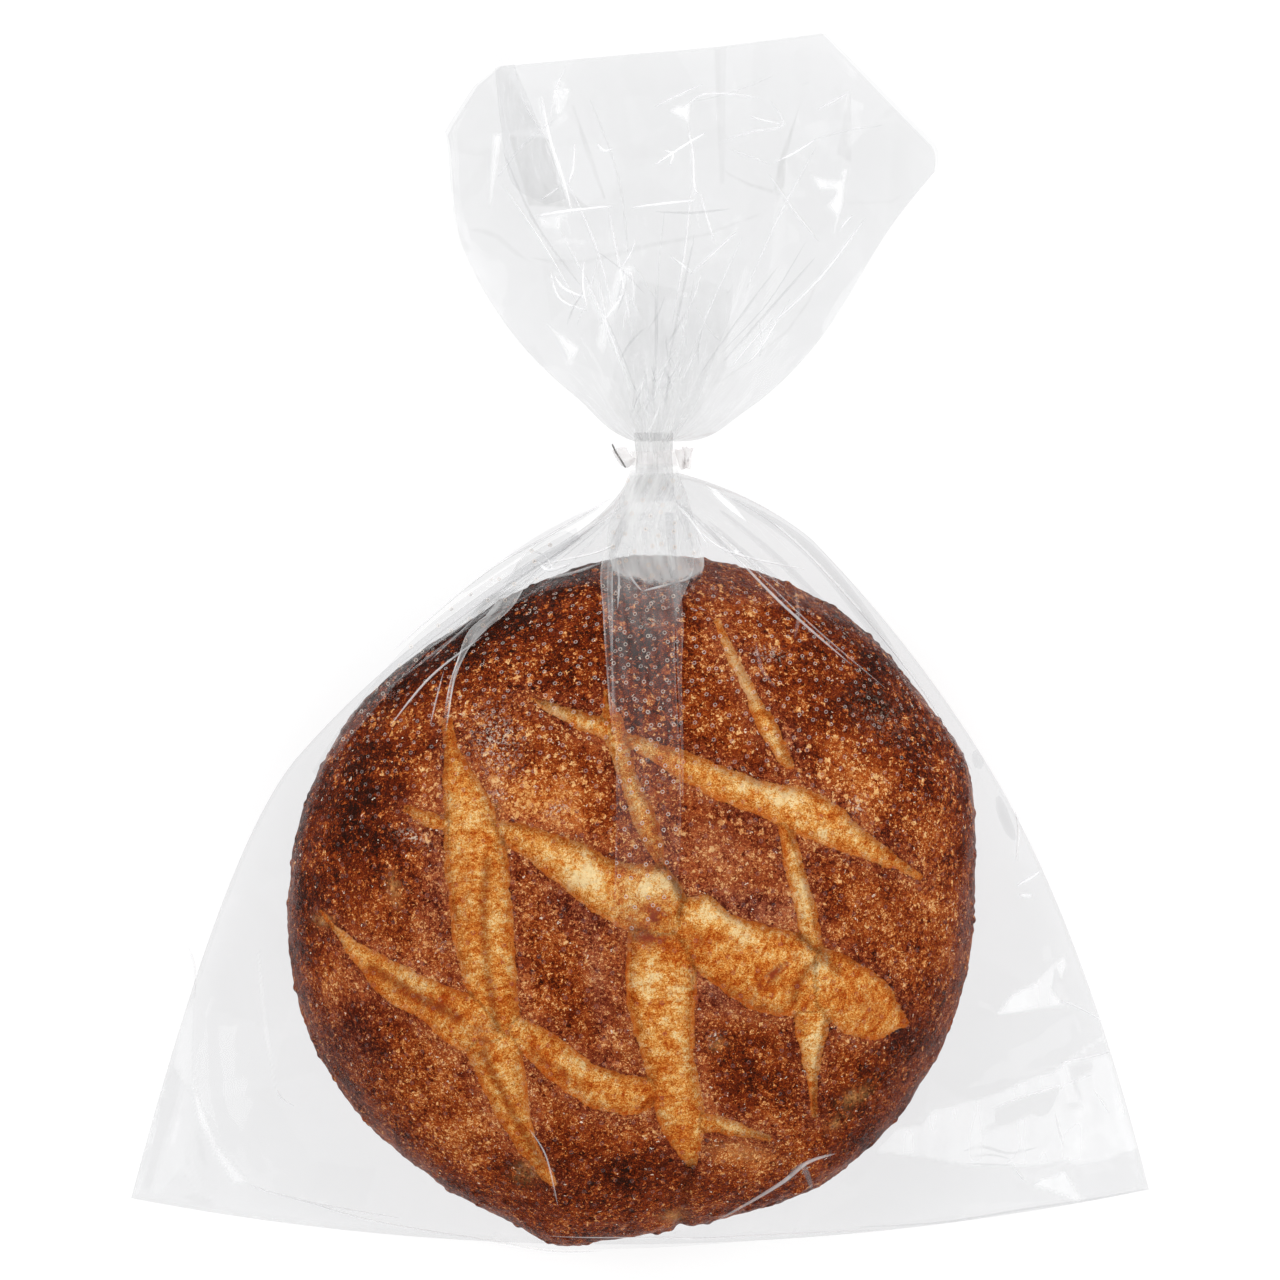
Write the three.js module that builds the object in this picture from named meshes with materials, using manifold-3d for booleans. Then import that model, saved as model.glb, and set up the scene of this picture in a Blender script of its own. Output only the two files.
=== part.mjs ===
// A round sourdough loaf in a clear film bag, gathered into a neck and shut with a twist tie.
// The bag lies on its back: the loaf's flat base is on the ground, the hem points to -Y and the
// neck and its ruffle to +Y. Millimetres, +Z up. The pieces are modelled about the middle of the
// loaf's base, and the whole is then moved so that the origin is the middle of its footprint.

import * as THREE from "three";
import { mergeVertices } from "three/addons/utils/BufferGeometryUtils.js";
import Module from "manifold-3d";

const wasm = await Module();
wasm.setup();

const { degToRad, lerp, smoothstep } = THREE.MathUtils;

// ---------------------------------------------------------------- driving sizes

const LOAF_RADIUS = 118.5;
const LOAF_HEIGHT = 92;
const WAIST_HEIGHT = 30; // where the loaf is widest
const BASE_SHARE = 0.8; // of the loaf's radius, the flat part of its base
const CUT_DEPTH = 3.4; // of the scored slashes
const CUT_EDGE = 2.4; // half the width of the slope down into a slash

const FILM_EDGE = 1; // thickness of the two flat layers where they meet
const HEM_HEIGHT = 1; // of the film's edge over the ground along the hem

const NECK = { x: 7.3, z: 27, radius: 7.2, start: 128, end: 161 }; // start and end along Y
const RUFFLE_THICKNESS = 3.4;
const RUFFLE_SWELL = 9; // how far its pleats rise and fall at the mouth

const TIE = { y: 155, width: 5.2, thickness: 1.2, gap: 0.35 };
const TIE_RIBBON = { width: 5.6, thickness: 0.9 };
const TIE_WIRE = 0.9;

// ---------------------------------------------------------------- shared helpers

function range(count, valueAt) {
  return Array.from({ length: count }, (_, i) => valueAt(i));
}

// A value that runs smoothly through evenly spaced ones, from share 0 to share 1.
function through(values) {
  const last = values.length - 1;
  const spline = new THREE.SplineCurve(values.map((value, i) => new THREE.Vector2(i / last, value)));
  return (share) => spline.getPoint(share).y;
}

// How far out an outline is from the origin in one direction.
function reachOf(outline, degrees) {
  const ray = new THREE.Vector2(Math.cos(degToRad(degrees)), Math.sin(degToRad(degrees)));
  const hits = outline.slice(1).map((end, i) => {
    const side = end.clone().sub(outline[i]);
    const out = outline[i].cross(side) / ray.cross(side);
    const along = outline[i].cross(ray) / ray.cross(side);
    return along >= 0 && along <= 1 ? out : 0;
  });
  return Math.max(...hits);
}

// A closed surface through rings of points that all have the same even count. The first and the
// last ring are shut by strips between their two halves, and each facet of four corners is split
// along its shorter diagonal.
function loft(rings) {
  const points = rings.flat();
  const count = rings[0].length;
  const last = points.length - count;
  const faces = [];
  const quad = (a, b, c, d) => {
    const short = points[a].distanceTo(points[c]) <= points[b].distanceTo(points[d]);
    faces.push(...(short ? [a, b, c, a, c, d] : [a, b, d, b, c, d]));
  };
  for (let row = 0; row < last; row += count)
    for (let i = 0; i < count; i += 1) {
      const j = (i + 1) % count;
      quad(row + i, row + j, row + count + j, row + count + i);
    }
  for (let i = 0; i < count / 2; i += 1) {
    const [near, far] = [(count - i) % count, count - i - 1];
    quad(i, near, far, i + 1);
    quad(last + i, last + i + 1, last + far, last + near);
  }
  return new THREE.BufferGeometry().setFromPoints(points).setIndex(faces);
}

// A closed geometry as a manifold-3d solid, with its faces pointing out.
function solidOf(geometry) {
  const bare = new THREE.BufferGeometry()
    .setAttribute("position", geometry.getAttribute("position"))
    .setIndex(geometry.index);
  const merged = mergeVertices(bare, 1e-3);
  const vertProperties = merged.attributes.position.array;
  const triVerts = new Uint32Array(
    range(merged.index.count / 3, (i) => merged.index.array.slice(3 * i, 3 * i + 3))
      .filter(([a, b, c]) => a !== b && b !== c && c !== a)
      .flatMap((corners) => [...corners]),
  );
  const solid = new wasm.Manifold(new wasm.Mesh({ numProp: 3, vertProperties, triVerts }));
  if (solid.volume() > 0) return solid;
  triVerts.reverse();
  return new wasm.Manifold(new wasm.Mesh({ numProp: 3, vertProperties, triVerts }));
}

// One mesh of several closed geometries joined.
function joined(name, material, geometries) {
  const { vertProperties, triVerts } = geometries
    .map(solidOf)
    .reduce((whole, solid) => whole.add(solid))
    .getMesh();
  const geometry = new THREE.BufferGeometry()
    .setAttribute("position", new THREE.BufferAttribute(vertProperties, 3))
    .setIndex(new THREE.BufferAttribute(triVerts, 1));
  geometry.computeVertexNormals();
  const mesh = new THREE.Mesh(geometry, material);
  mesh.name = name;
  return mesh;
}

// ---------------------------------------------------------------- the loaf

// Where the loaf's outline leaves the circle: degrees round it, millimetres out, degrees wide.
const LOAF_BULGES = [
  { at: 22, out: 6, wide: 12 },
  { at: 54, out: 6, wide: 24 },
  { at: 85, out: 2, wide: 14 },
  { at: 122, out: -4.5, wide: 18 },
  { at: 178, out: 1.5, wide: 20 },
  { at: 205, out: 3, wide: 20 },
  { at: 257, out: 4, wide: 6 },
  { at: 283, out: -4, wide: 16 },
];

function loafRadius(degrees) {
  const lobe = ({ at, out, wide }) => {
    const away = ((degrees - at + 540) % 360) - 180;
    return out * Math.exp(-((away / wide) ** 2));
  };
  return LOAF_BULGES.reduce((radius, bulge) => radius + lobe(bulge), LOAF_RADIUS);
}

// The scored slashes, which opened in the oven. Each runs from start through mid to end, and
// opens to its widths at even steps between its two ends.
const SLASHES = [
  { start: [-39, 72], mid: [30, 46], end: [95, 11], widths: [4.5, 8, 14, 13] },
  { start: [-79, 34], mid: [-70, 29.5], end: [-60, 26], widths: [3.5, 5, 5.5] },
  { start: [-52, 32], mid: [-11, 10.5], end: [34, -15], widths: [10, 18, 21, 20] },
  { start: [6, 2], mid: [47, -20], end: [96, -41], widths: [20, 25, 24, 21] },
  { start: [-109, -10], mid: [-54, -42], end: [9, -70], widths: [16, 18, 14, 14] },
  { start: [18, -72], mid: [33, -76.5], end: [48, -81], widths: [9, 6, 3] },
  { start: [-64, 62], mid: [-54.5, 20], end: [-46, -36], widths: [12, 19, 23.5, 19] },
  { start: [-53, 8], mid: [-44.5, -50], end: [-25, -104], widths: [18, 13, 15, 9] },
  { start: [-11, 73], mid: [7, -10], end: [19, -90], widths: [7, 6, 18, 21, 18] },
  { start: [27, 99], mid: [41, 66], end: [54, 32], widths: [5, 7, 8] },
  { start: [50, 31], mid: [57.5, -20], end: [64, -75], widths: [5, 7.5, 11, 5] },
];
const SLASH_STEPS = 12;

// A slash as straight stretches along a quadratic curve, each with half its width at both ends.
function slashStretches({ start, mid, end, widths }) {
  const [from, via, to] = [start, mid, end].map(([x, y]) => new THREE.Vector3(x, y, 0));
  const bend = from.clone().add(to).multiplyScalar(-0.5).addScaledVector(via, 2);
  const points = new THREE.QuadraticBezierCurve3(from, bend, to).getPoints(SLASH_STEPS);
  const width = through([0, ...widths, 0]);
  return range(SLASH_STEPS, (i) => ({
    line: new THREE.Line3(points[i], points[i + 1]),
    half: [i, i + 1].map((step) => width(step / SLASH_STEPS) / 2),
  }));
}

const allStretches = SLASHES.flatMap(slashStretches);

// How open the crust is at a point: 0 on the crust and 1 in the middle of a slash.
function openness(x, y) {
  const here = new THREE.Vector3(x, y, 0);
  const nearest = new THREE.Vector3();
  const beyond = allStretches.map(({ line, half }) => {
    const share = line.closestPointToPointParameter(here, true);
    return line.at(share, nearest).distanceTo(here) - lerp(half[0], half[1], share);
  });
  return 1 - smoothstep(Math.min(...beyond), -CUT_EDGE, CUT_EDGE);
}

// How far the crust has risen from the waist, a share of the way out from the middle.
function dome(share) {
  return Math.sqrt(1 - share ** 2.2);
}

// Height of the crust: the dome, which heaves a little as a hearth loaf does, less the slashes.
function crustHeight(share, degrees) {
  const radius = share * loafRadius(degrees);
  const x = radius * Math.cos(degToRad(degrees));
  const y = radius * Math.sin(degToRad(degrees));
  const heave = 1.3 * Math.sin(x / 27 + 1) * Math.cos(y / 31);
  const rise = LOAF_HEIGHT - WAIST_HEIGHT + heave - CUT_DEPTH * openness(x, y);
  return WAIST_HEIGHT + rise * dome(share);
}

// ---------------------------------------------------------------- the bag round the loaf

const LEFT_CORNER = { x: -177, y: -105 };
const RIGHT_CORNER = { x: 181.5, y: -102 };

// The bag's outline from above, from the neck round by the left side, the hem and the right.
const bagOutline = new THREE.Path()
  .moveTo(NECK.x, 150)
  .lineTo(-1, 149)
  .quadraticCurveTo(-9, 134, -30, 123)
  .quadraticCurveTo(-83, 90, -117, 51.5)
  .quadraticCurveTo(-143, 23, LEFT_CORNER.x, LEFT_CORNER.y)
  .quadraticCurveTo(0, -139, RIGHT_CORNER.x, RIGHT_CORNER.y)
  .quadraticCurveTo(160, -15, 129, 39.5)
  .quadraticCurveTo(102, 86, 62, 127)
  .quadraticCurveTo(42, 143, 15.5, 150)
  .closePath()
  .getPoints(24);

// The bag's edge lies near the ground along the hem, and lifts towards the neck.
function edgeHeight(y) {
  return lerp(HEM_HEIGHT, NECK.z, smoothstep(y, -70, 148));
}

const SPOKES = 120;
const FIRST_RING = 0.06; // of the way from the middle of the loaf to where the film leaves it
const CROWN_RINGS = 23; // over the loaf, up to where the film leaves it
const DRAPE_RINGS = 4; // from there to the bag's edge
const TANGENT_STEPS = 60;

// The share of the loaf's radius at which film pulled tight from the bag's edge leaves the crust.
function leavingShare(degrees, edge, height) {
  const steepness = (share) => {
    const crust = lerp(WAIST_HEIGHT, LOAF_HEIGHT, dome(share));
    return Math.atan2(crust - height, edge - share * loafRadius(degrees));
  };
  const shares = range(TANGENT_STEPS + 1, (i) => lerp(0.5, 1, i / TANGENT_STEPS));
  return shares.reduce((best, share) => (steepness(share) > steepness(best) ? share : best));
}

// One spoke of the bag, from near the top of the loaf out to the edge and back underneath.
function spoke(degrees) {
  const [cos, sin] = [Math.cos(degToRad(degrees)), Math.sin(degToRad(degrees))];
  const at = (radius, z) => new THREE.Vector3(radius * cos, radius * sin, z);
  const edge = reachOf(bagOutline, degrees);
  const height = edgeHeight(edge * sin);
  const leaves = leavingShare(degrees, edge, height);
  const loaf = loafRadius(degrees);
  const crown = range(CROWN_RINGS, (i) => {
    const share = leaves * lerp(FIRST_RING, 1, i / (CROWN_RINGS - 1));
    return at(share * loaf, crustHeight(share, degrees));
  });
  const shoulder = crown[CROWN_RINGS - 1].z;
  const drape = range(DRAPE_RINGS, (i) => {
    const share = (i + 1) / DRAPE_RINGS;
    const z = lerp(shoulder, height + FILM_EDGE / 2, share);
    return at(lerp(leaves * loaf, edge, share), z);
  });
  return [...crown, ...drape, at(edge, height - FILM_EDGE / 2), at(BASE_SHARE * loaf, 0)];
}

// The spokes are even, but for the two that are turned a little to run into the hem's corners.
function bodyGeometry() {
  const step = 360 / SPOKES;
  const angles = range(SPOKES, (i) => i * step);
  for (const { x, y } of [LEFT_CORNER, RIGHT_CORNER]) {
    const degrees = (THREE.MathUtils.radToDeg(Math.atan2(y, x)) + 360) % 360;
    angles[Math.round(degrees / step)] = degrees;
  }
  const spokes = angles.map(spoke);
  return loft(spokes[0].map((_, ring) => spokes.map((points) => points[ring])));
}

// ---------------------------------------------------------------- the neck and its ruffle

// The film beyond the neck fans out, seen from above: its left and right edges turn from the
// neck to the mouth through these degrees. The mouth's outline is about the end of the neck.
const leftEdge = through([160, 150, 142, 134, 124]);
const rightEdge = through([0, 19, 32, 41, 44]);
const mouthOutline = new THREE.Path()
  .moveTo(-90, 79)
  .lineTo(-72, 112)
  .lineTo(-63.5, 125)
  .lineTo(-55, 132)
  .lineTo(23.5, 139)
  .lineTo(60, 143.5)
  .lineTo(75, 128.5)
  .lineTo(104, 99.5)
  .lineTo(118, 84)
  .getPoints();

const PLEATS = 6.5; // half waves from edge to edge
const NECK_RINGS = 5;
const FAN_RINGS = 13;
const ACROSS = 44; // facets across each face

// Height of the ruffle's middle: uneven zigzag pleats that deepen towards the mouth.
function pleatHeight(across, out) {
  const wave = Math.sin(Math.PI * PLEATS * across + 1.1 * Math.sin(5 * across));
  const uneven = 0.72 + 0.28 * Math.cos(7 * across + 2);
  const middle = lerp(NECK.z, RUFFLE_SWELL + RUFFLE_THICKNESS, smoothstep(out, 0, 0.9));
  return middle + RUFFLE_SWELL * uneven * wave * out * smoothstep(out, 0, 0.35);
}

// A point on the ruffle: across from 0 at its left edge to 1, out from 0 at the neck to 1 at the
// mouth, on the upper face (1) or the lower (-1).
function rufflePoint(across, out, face) {
  const degrees = lerp(leftEdge(out), rightEdge(out), across);
  const reach = out * reachOf(mouthOutline, lerp(leftEdge(1), rightEdge(1), across));
  const foot = lerp(-NECK.radius, NECK.radius, across) * (1 - smoothstep(out, 0, 0.25));
  const round = Math.sqrt(1 - (2 * across - 1) ** 2);
  const flat = lerp(round, 1, smoothstep(out, 0.03, 0.3));
  const thickness = lerp(NECK.radius * 2, RUFFLE_THICKNESS, smoothstep(out, 0, 0.4));
  return new THREE.Vector3(
    NECK.x + foot + reach * Math.cos(degToRad(degrees)),
    NECK.end + reach * Math.sin(degToRad(degrees)),
    pleatHeight(across, out) + (face * thickness * flat) / 2,
  );
}

// A ring round the neck or the ruffle, along its upper face and back along its lower one.
function neckRing(pointAt) {
  const share = (i) => (1 - Math.cos((Math.PI * i) / ACROSS)) / 2;
  const upper = range(ACROSS, (i) => pointAt(share(i), 1));
  const lower = range(ACROSS, (i) => pointAt(share(ACROSS - i), -1));
  return [...upper, ...lower];
}

// The neck is a round rope of film that starts inside the bag, and the ruffle grows out of it.
function ruffleGeometry() {
  const necks = range(NECK_RINGS, (i) => {
    const y = lerp(NECK.start, NECK.end, i / (NECK_RINGS - 1));
    return neckRing((across, face) => {
      const side = 2 * across - 1;
      const lift = face * NECK.radius * Math.sqrt(1 - side ** 2);
      return new THREE.Vector3(NECK.x + NECK.radius * side, y, NECK.z + lift);
    });
  });
  const fans = range(FAN_RINGS, (i) => {
    const out = ((i + 1) / FAN_RINGS) ** 1.15;
    return neckRing((across, face) => rufflePoint(across, out, face));
  });
  return loft([...necks, ...fans]);
}

// ---------------------------------------------------------------- the twist tie

// A ribbon along a path: a flat section whose broad side points in a direction of its own at
// each step. The steps are { at: [x, y, z], broad: [x, y, z] }.
function ribbonGeometry(steps, width, thickness) {
  const points = steps.map(({ at }) => new THREE.Vector3(...at));
  const rings = steps.map(({ broad }, i) => {
    const before = points[Math.max(i - 1, 0)];
    const after = points[Math.min(i + 1, points.length - 1)];
    const along = after.clone().sub(before).normalize();
    const across = new THREE.Vector3(...broad).cross(along).cross(along).normalize();
    const up = along.clone().cross(across);
    const corner = (side, face) =>
      points[i].clone().addScaledVector(across, (side * width) / 2).addScaledVector(up, (face * thickness) / 2);
    return [corner(-1, -1), corner(1, -1), corner(1, 1), corner(-1, 1)];
  });
  return loft(rings);
}

// The band round the neck, in the tie's own frame: the neck's axis along Y, its middle at 0.
function bandGeometry() {
  const inner = NECK.radius + TIE.gap;
  const outer = inner + TIE.thickness;
  const half = TIE.width / 2;
  const section = [
    [inner, -half],
    [outer, -half],
    [outer, half],
    [inner, half],
    [inner, -half],
  ].map(([x, y]) => new THREE.Vector2(x, y));
  return new THREE.LatheGeometry(section, 40);
}

// The left end stands up from the band and shows the wire along its outer edge, bare at the tip.
// The right end is folded into a short crumpled tail.
function tieGeometries() {
  const side = NECK.radius + TIE.gap + TIE.thickness;
  const left = ribbonGeometry(
    [
      { at: [-side - 0.2, -1.6, 4], broad: [1, 0.5, 0.2] },
      { at: [-side - 1.4, -0.6, 5], broad: [1, 0.5, 0.3] },
      { at: [-side - 2.8, 2.2, 6.2], broad: [1, 0.5, 0.4] },
    ],
    TIE_RIBBON.width,
    TIE_RIBBON.thickness,
  );
  const wire = ribbonGeometry(
    [
      { at: [-side - 2.4, -3.2, 4.4], broad: [1, 0, 0] },
      { at: [-side - 6.2, 4.4, 6.6], broad: [1, 0, 0] },
    ],
    TIE_WIRE,
    TIE_WIRE,
  );
  const right = ribbonGeometry(
    [
      { at: [side - 0.6, -0.6, 3.2], broad: [0, 1, 0.2] },
      { at: [side + 0.8, 0, 4.6], broad: [0, 1, 0.6] },
      { at: [side + 1.8, 0.3, 3], broad: [0, 1, -0.4] },
      { at: [side + 3, 0.2, 5.2], broad: [-0.1, 1, 0.4] },
      { at: [side + 4, -0.3, 4.2], broad: [-0.1, 1, 0] },
    ],
    TIE_RIBBON.width * 1.4,
    TIE_RIBBON.thickness,
  );
  return [bandGeometry(), left, wire, right].map((geometry) =>
    geometry.translate(NECK.x, TIE.y, NECK.z),
  );
}

// ---------------------------------------------------------------- assembly

const film = new THREE.MeshStandardMaterial({ color: 0xe8ebec, roughness: 0.15, metalness: 0 });
const ribbon = new THREE.MeshStandardMaterial({ color: 0xdfdddb, roughness: 0.35, metalness: 0 });

const loose = new THREE.Group();
loose.add(joined("bag_with_loaf", film, [bodyGeometry(), ruffleGeometry()]));
loose.add(joined("twist_tie", ribbon, tieGeometries()));

const footprint = new THREE.Box3().setFromObject(loose).getCenter(new THREE.Vector3());
loose.position.set(-footprint.x, -footprint.y, 0);

const baggedLoaf = new THREE.Group();
baggedLoaf.add(loose);

export default baggedLoaf;
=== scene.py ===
"""A round scored sourdough loaf in a clear film bag, shut at the neck with a twist tie.

Shapes are worked out in millimetres about the middle of the loaf's base, with the hem of the bag
towards -Y, the neck towards +Y and the crust up. They are moved to the frame, in metres, as each
piece's mesh is made.
"""

import bpy
import numpy as np
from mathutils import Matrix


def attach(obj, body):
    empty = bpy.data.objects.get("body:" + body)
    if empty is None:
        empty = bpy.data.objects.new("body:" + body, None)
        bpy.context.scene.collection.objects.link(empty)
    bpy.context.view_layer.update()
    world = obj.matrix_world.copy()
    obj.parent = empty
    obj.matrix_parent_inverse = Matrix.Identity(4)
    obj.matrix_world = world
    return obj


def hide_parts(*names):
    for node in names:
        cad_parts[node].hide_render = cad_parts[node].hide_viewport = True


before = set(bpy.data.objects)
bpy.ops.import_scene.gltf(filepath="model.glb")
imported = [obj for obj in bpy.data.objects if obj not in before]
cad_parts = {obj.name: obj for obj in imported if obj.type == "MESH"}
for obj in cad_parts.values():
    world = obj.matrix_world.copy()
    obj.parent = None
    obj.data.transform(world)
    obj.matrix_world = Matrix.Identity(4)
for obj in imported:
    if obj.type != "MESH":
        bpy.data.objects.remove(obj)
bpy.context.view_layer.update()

# ---------------------------------------------------------------- the loaf's shape
# A hearth loaf of wheat sourdough: dough proved in a basket, turned out, scored with a blade and
# baked on stone. It spread and rose to a low dome on a flat base, and its slashes tore open.

LOAF_PLACE = np.array([-2.25, -91.61, 0.0])
LOAF_RADIUS = 118.5
LOAF_HEIGHT = 92.0
WAIST_HEIGHT = 30.0
BASE_SHARE = 0.8
BASE_LIFT = 0.8
# Where the dough spread farther, or less far: direction, how far, and width in degrees.
BULGES = np.array(
    [
        [22, 6, 12],
        [54, 6, 24],
        [85, 2, 14],
        [122, -4.5, 18],
        [178, 1.5, 20],
        [205, 3, 20],
        [257, 4, 6],
        [283, -4, 16],
    ]
)
HEAVE_HEIGHT = 1.3
HEAVE_ACROSS = 27
HEAVE_ALONG = 31
LIP_HEIGHT = 1.2
LIP_WIDTH = 2.6
CUT_DEPTH = 2.1
CUT_FILL = 2.3
FILL_REACH = 4.5
CREASE_DEPTH = 0.8
CREASE_WIDTH = 1.5
# Each slash: places along its two edges, from tip to tip.
SLASHES = (
    (
        ((-64.5, 64), (-65, 48), (-64.5, 32), (-64.5, 16), (-63, 0), (-60.5, -16), (-55, -32),
         (-50, -46)),
        ((-63.5, 64), (-58.5, 50), (-48, 34), (-43.5, 16), (-42.3, 0), (-41, -16), (-40, -32),
         (-38.5, -46)),
    ),
    (
        ((-58, -42), (-55.5, -54), (-50, -66), (-43.5, -77), (-36, -88), (-27.5, -97)),
        ((-40, -42), (-38, -54), (-36.5, -66), (-34.5, -77), (-31, -87), (-26.5, -96)),
    ),
    (
        ((-52, 31), (-41, 28.8), (-28, 25.4), (-15.5, 21), (-5, 16), (5.6, 14.4), (13, 12), (19, 2)),
        ((-52, 29), (-39.6, 19.1), (-29, 11.6), (-17, 1.8), (-6.5, -5), (4.1, -8), (11, -10.5), (19, -8)),
    ),
    (
        ((12, 3), (19.1, 3.4), (26, 3.2), (34.2, -3), (45, -6.4), (56.8, -10.2), (64, -14.6)),
        ((12, -10), (17, -14), (22.2, -20.8), (32.7, -29.8), (44, -35.5), (55, -37.6), (66, -38)),
    ),
    (
        ((60, -16), (66, -15), (73.4, -17.4), (81, -21.5), (88, -28), (92, -35.5), (94.5, -41)),
        ((60, -34), (64, -37), (69.2, -39.5), (75, -43.6), (82, -45.6), (88, -43.8), (94.5, -41)),
    ),
    (
        ((-1, -7.5), (-2.7, -22), (-1, -36), (3, -50), (6.4, -62), (9, -74), (15, -83.5), (20, -90)),
        ((17, -7), (20.5, -22), (20.8, -36), (20, -50), (22.6, -62), (24.4, -74), (22.6, -83), (21, -90)),
    ),
    (
        ((-10, 74), (-9, 62), (-7, 52), (-4, 42), (0.5, 31), (5, 20), (9, 14)),
        ((-9, 74), (-3.6, 62), (-1.6, 52), (1.6, 42), (7, 31), (10, 21), (11, 14)),
    ),
    (
        ((-38, 73), (-30, 70.6), (-22, 67.8), (-14, 65), (-6, 62)),
        ((-38, 72.6), (-30, 67.8), (-22, 63.6), (-14, 60.2), (-6, 58)),
    ),
    (
        ((-4, 59), (6, 57), (17.6, 52.8), (30, 48), (43.2, 42.8), (56, 41), (66, 36.5), (76, 28.6),
         (99, 10)),
        ((-4, 58), (6, 50.5), (17.6, 43.5), (30, 37.6), (43.2, 31.6), (54, 27), (64, 21.8), (76, 18.6),
         (99, 9.8)),
    ),
    (
        ((28.5, 98), (32, 86), (38, 74), (42.5, 62), (47.5, 53), (52.5, 47.6)),
        ((29.5, 98), (36, 86), (41.8, 74), (48.8, 62), (53.2, 53), (55, 48)),
    ),
    (
        ((50, 30), (51.5, 20), (53, 10.8), (55.3, 1.8), (57.5, -8), (61, -16)),
        ((52, 30), (56, 20), (59, 10.8), (61.3, 1.8), (63, -8), (64.5, -16)),
    ),
    (
        ((55, -34), (55.6, -42), (58, -51), (60.6, -60), (62, -72)),
        ((66.5, -34), (66, -42), (63.6, -51), (62.6, -60), (62.8, -72)),
    ),
    (
        ((-108, -2), (-98.4, -10.6), (-83.3, -18.3), (-68.3, -26), (-53, -31), (-40, -37.6)),
        ((-107, -4), (-97.5, -16), (-88.5, -28.6), (-74.3, -37.4), (-61, -48), (-44, -50)),
    ),
    (
        ((-46, -35), (-30.6, -41.7), (-15.5, -52.4), (-4, -57.3), (6.5, -59.3), (9, -63)),
        ((-46, -44), (-36.6, -51), (-23, -62.4), (-9.5, -69.9), (3, -70.3), (9, -64)),
    ),
    (
        ((-78, 34), (-70, 31.6), (-62, 30.5)),
        ((-78, 33.4), (-70, 28), (-62, 26.5)),
    ),
    (
        ((22, -70), (33, -73.6), (47, -79.2)),
        ((22, -77), (33, -78), (47, -80)),
    ),
)
SLASH_STEPS = 18
# How far apart two slashes lie in the noise from which their fibres come.
FIBRES_APART = 300
CRUST_CELLS = 264
FLANK_ROWS = 18
# A distance beyond any here, and how many corners the noises' lattice has before it repeats.
FAR = 999.0
LATTICE = 32


def ease(value, low, high):
    """0 below low and 1 above high; between them 3t² - 2t³, t being the share of the way."""
    share = np.clip((value - low) / (high - low), 0, 1)
    return share * share * (3 - 2 * share)


def mix(first, second, share):
    """The value that share of the way from the first to the second."""
    return first + (second - first) * share


def through(values, share):
    """A smooth curve through evenly spaced values: on each stretch the cubic whose slope at each
    end is half the step between the two neighbours of that end."""
    held = np.pad(np.asarray(values, float), 1, mode="edge")
    place = np.clip(share, 0, 1) * (len(values) - 1)
    start = np.minimum(place.astype(int), len(values) - 2)
    t = place - start
    before, here, there, after = (held[start + i] for i in range(4))
    rise, fall = (there - before) / 2, (after - here) / 2
    cubic = 2 * here - 2 * there + rise + fall
    square = -3 * here + 3 * there - 2 * rise - fall
    return ((cubic * t + square) * t + rise) * t + here


def swell(points, size, seed):
    """Smooth noise from -1 to 1: random values at the corners of a cubic lattice of that size,
    mixed by the eased distances from the eight corners round each point."""
    values = np.random.default_rng(seed).uniform(-1, 1, (LATTICE, LATTICE, LATTICE))
    cell = np.floor(points / size).astype(int)
    share = ease(points / size - cell, 0, 1)
    total = np.zeros(points.shape[:-1])
    for corner in np.ndindex(2, 2, 2):
        weight = np.prod(np.where(corner, share, 1 - share), axis=-1)
        x, y, z = np.moveaxis((cell + corner) % LATTICE, -1, 0)
        total += weight * values[x, y, z]
    return total


def swells(points, parts):
    """Sum of smooth noises, each given by its weight, its size and its seed."""
    return sum(weight * swell(points, size, seed) for weight, size, seed in parts)


def blisters(points, size, seed):
    """Distance to the nearest of random spots, one to each cube of a lattice, in shares of the
    lattice's size, and the random number that belongs to that spot."""
    spots = np.random.default_rng(seed).random((LATTICE, LATTICE, LATTICE, 4))
    cell = np.floor(points / size).astype(int)
    nearest = np.full(points.shape[:-1], 9.0)
    owner = np.zeros(points.shape[:-1])
    for step in np.ndindex(3, 3, 3):
        cube = cell + np.array(step) - 1
        x, y, z = np.moveaxis(cube % LATTICE, -1, 0)
        away = np.linalg.norm(cube + spots[x, y, z, :3] - points / size, axis=-1)
        owner = np.where(away < nearest, spots[x, y, z, 3], owner)
        nearest = np.minimum(away, nearest)
    return nearest, owner


def disc(count):
    """A square grid pressed into a round one: the distance out, 0 to 1, is the larger of the two
    coordinates, and the turn, in degrees, grows evenly with the other, so that cells stay even."""
    u, v = np.meshgrid(np.linspace(-1, 1, count), np.linspace(-1, 1, count))
    wide = np.abs(u) >= np.abs(v)
    long_side = np.where(wide, u, v)
    short_side = np.where(wide, v, u)
    ratio = short_side / np.where(long_side == 0, 1, long_side)
    half_turn = np.where(long_side < 0, 180, 0)
    turn = np.where(wide, 45 * ratio, 90 - 45 * ratio) + half_turn
    return np.abs(long_side), turn


def loaf_radius(turn):
    """The loaf's radius in a direction: a circle plus a bell curve round each bulge."""
    away = (turn[..., None] - BULGES[:, 0] + 540) % 360 - 180
    return LOAF_RADIUS + (BULGES[:, 1] * np.exp(-((away / BULGES[:, 2]) ** 2))).sum(axis=-1)


def dome(share):
    """Height of the crust over the waist, 1 in the middle and 0 at the rim: √(1 - share^2.2)."""
    return np.sqrt(1 - np.clip(share, 0, 1) ** 2.2)


def heave(x, y):
    """The dome's slow rise and fall: a sine across the loaf times a cosine along it."""
    return HEAVE_HEIGHT * np.sin(x / HEAVE_ACROSS + 1) * np.cos(y / HEAVE_ALONG)


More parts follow.
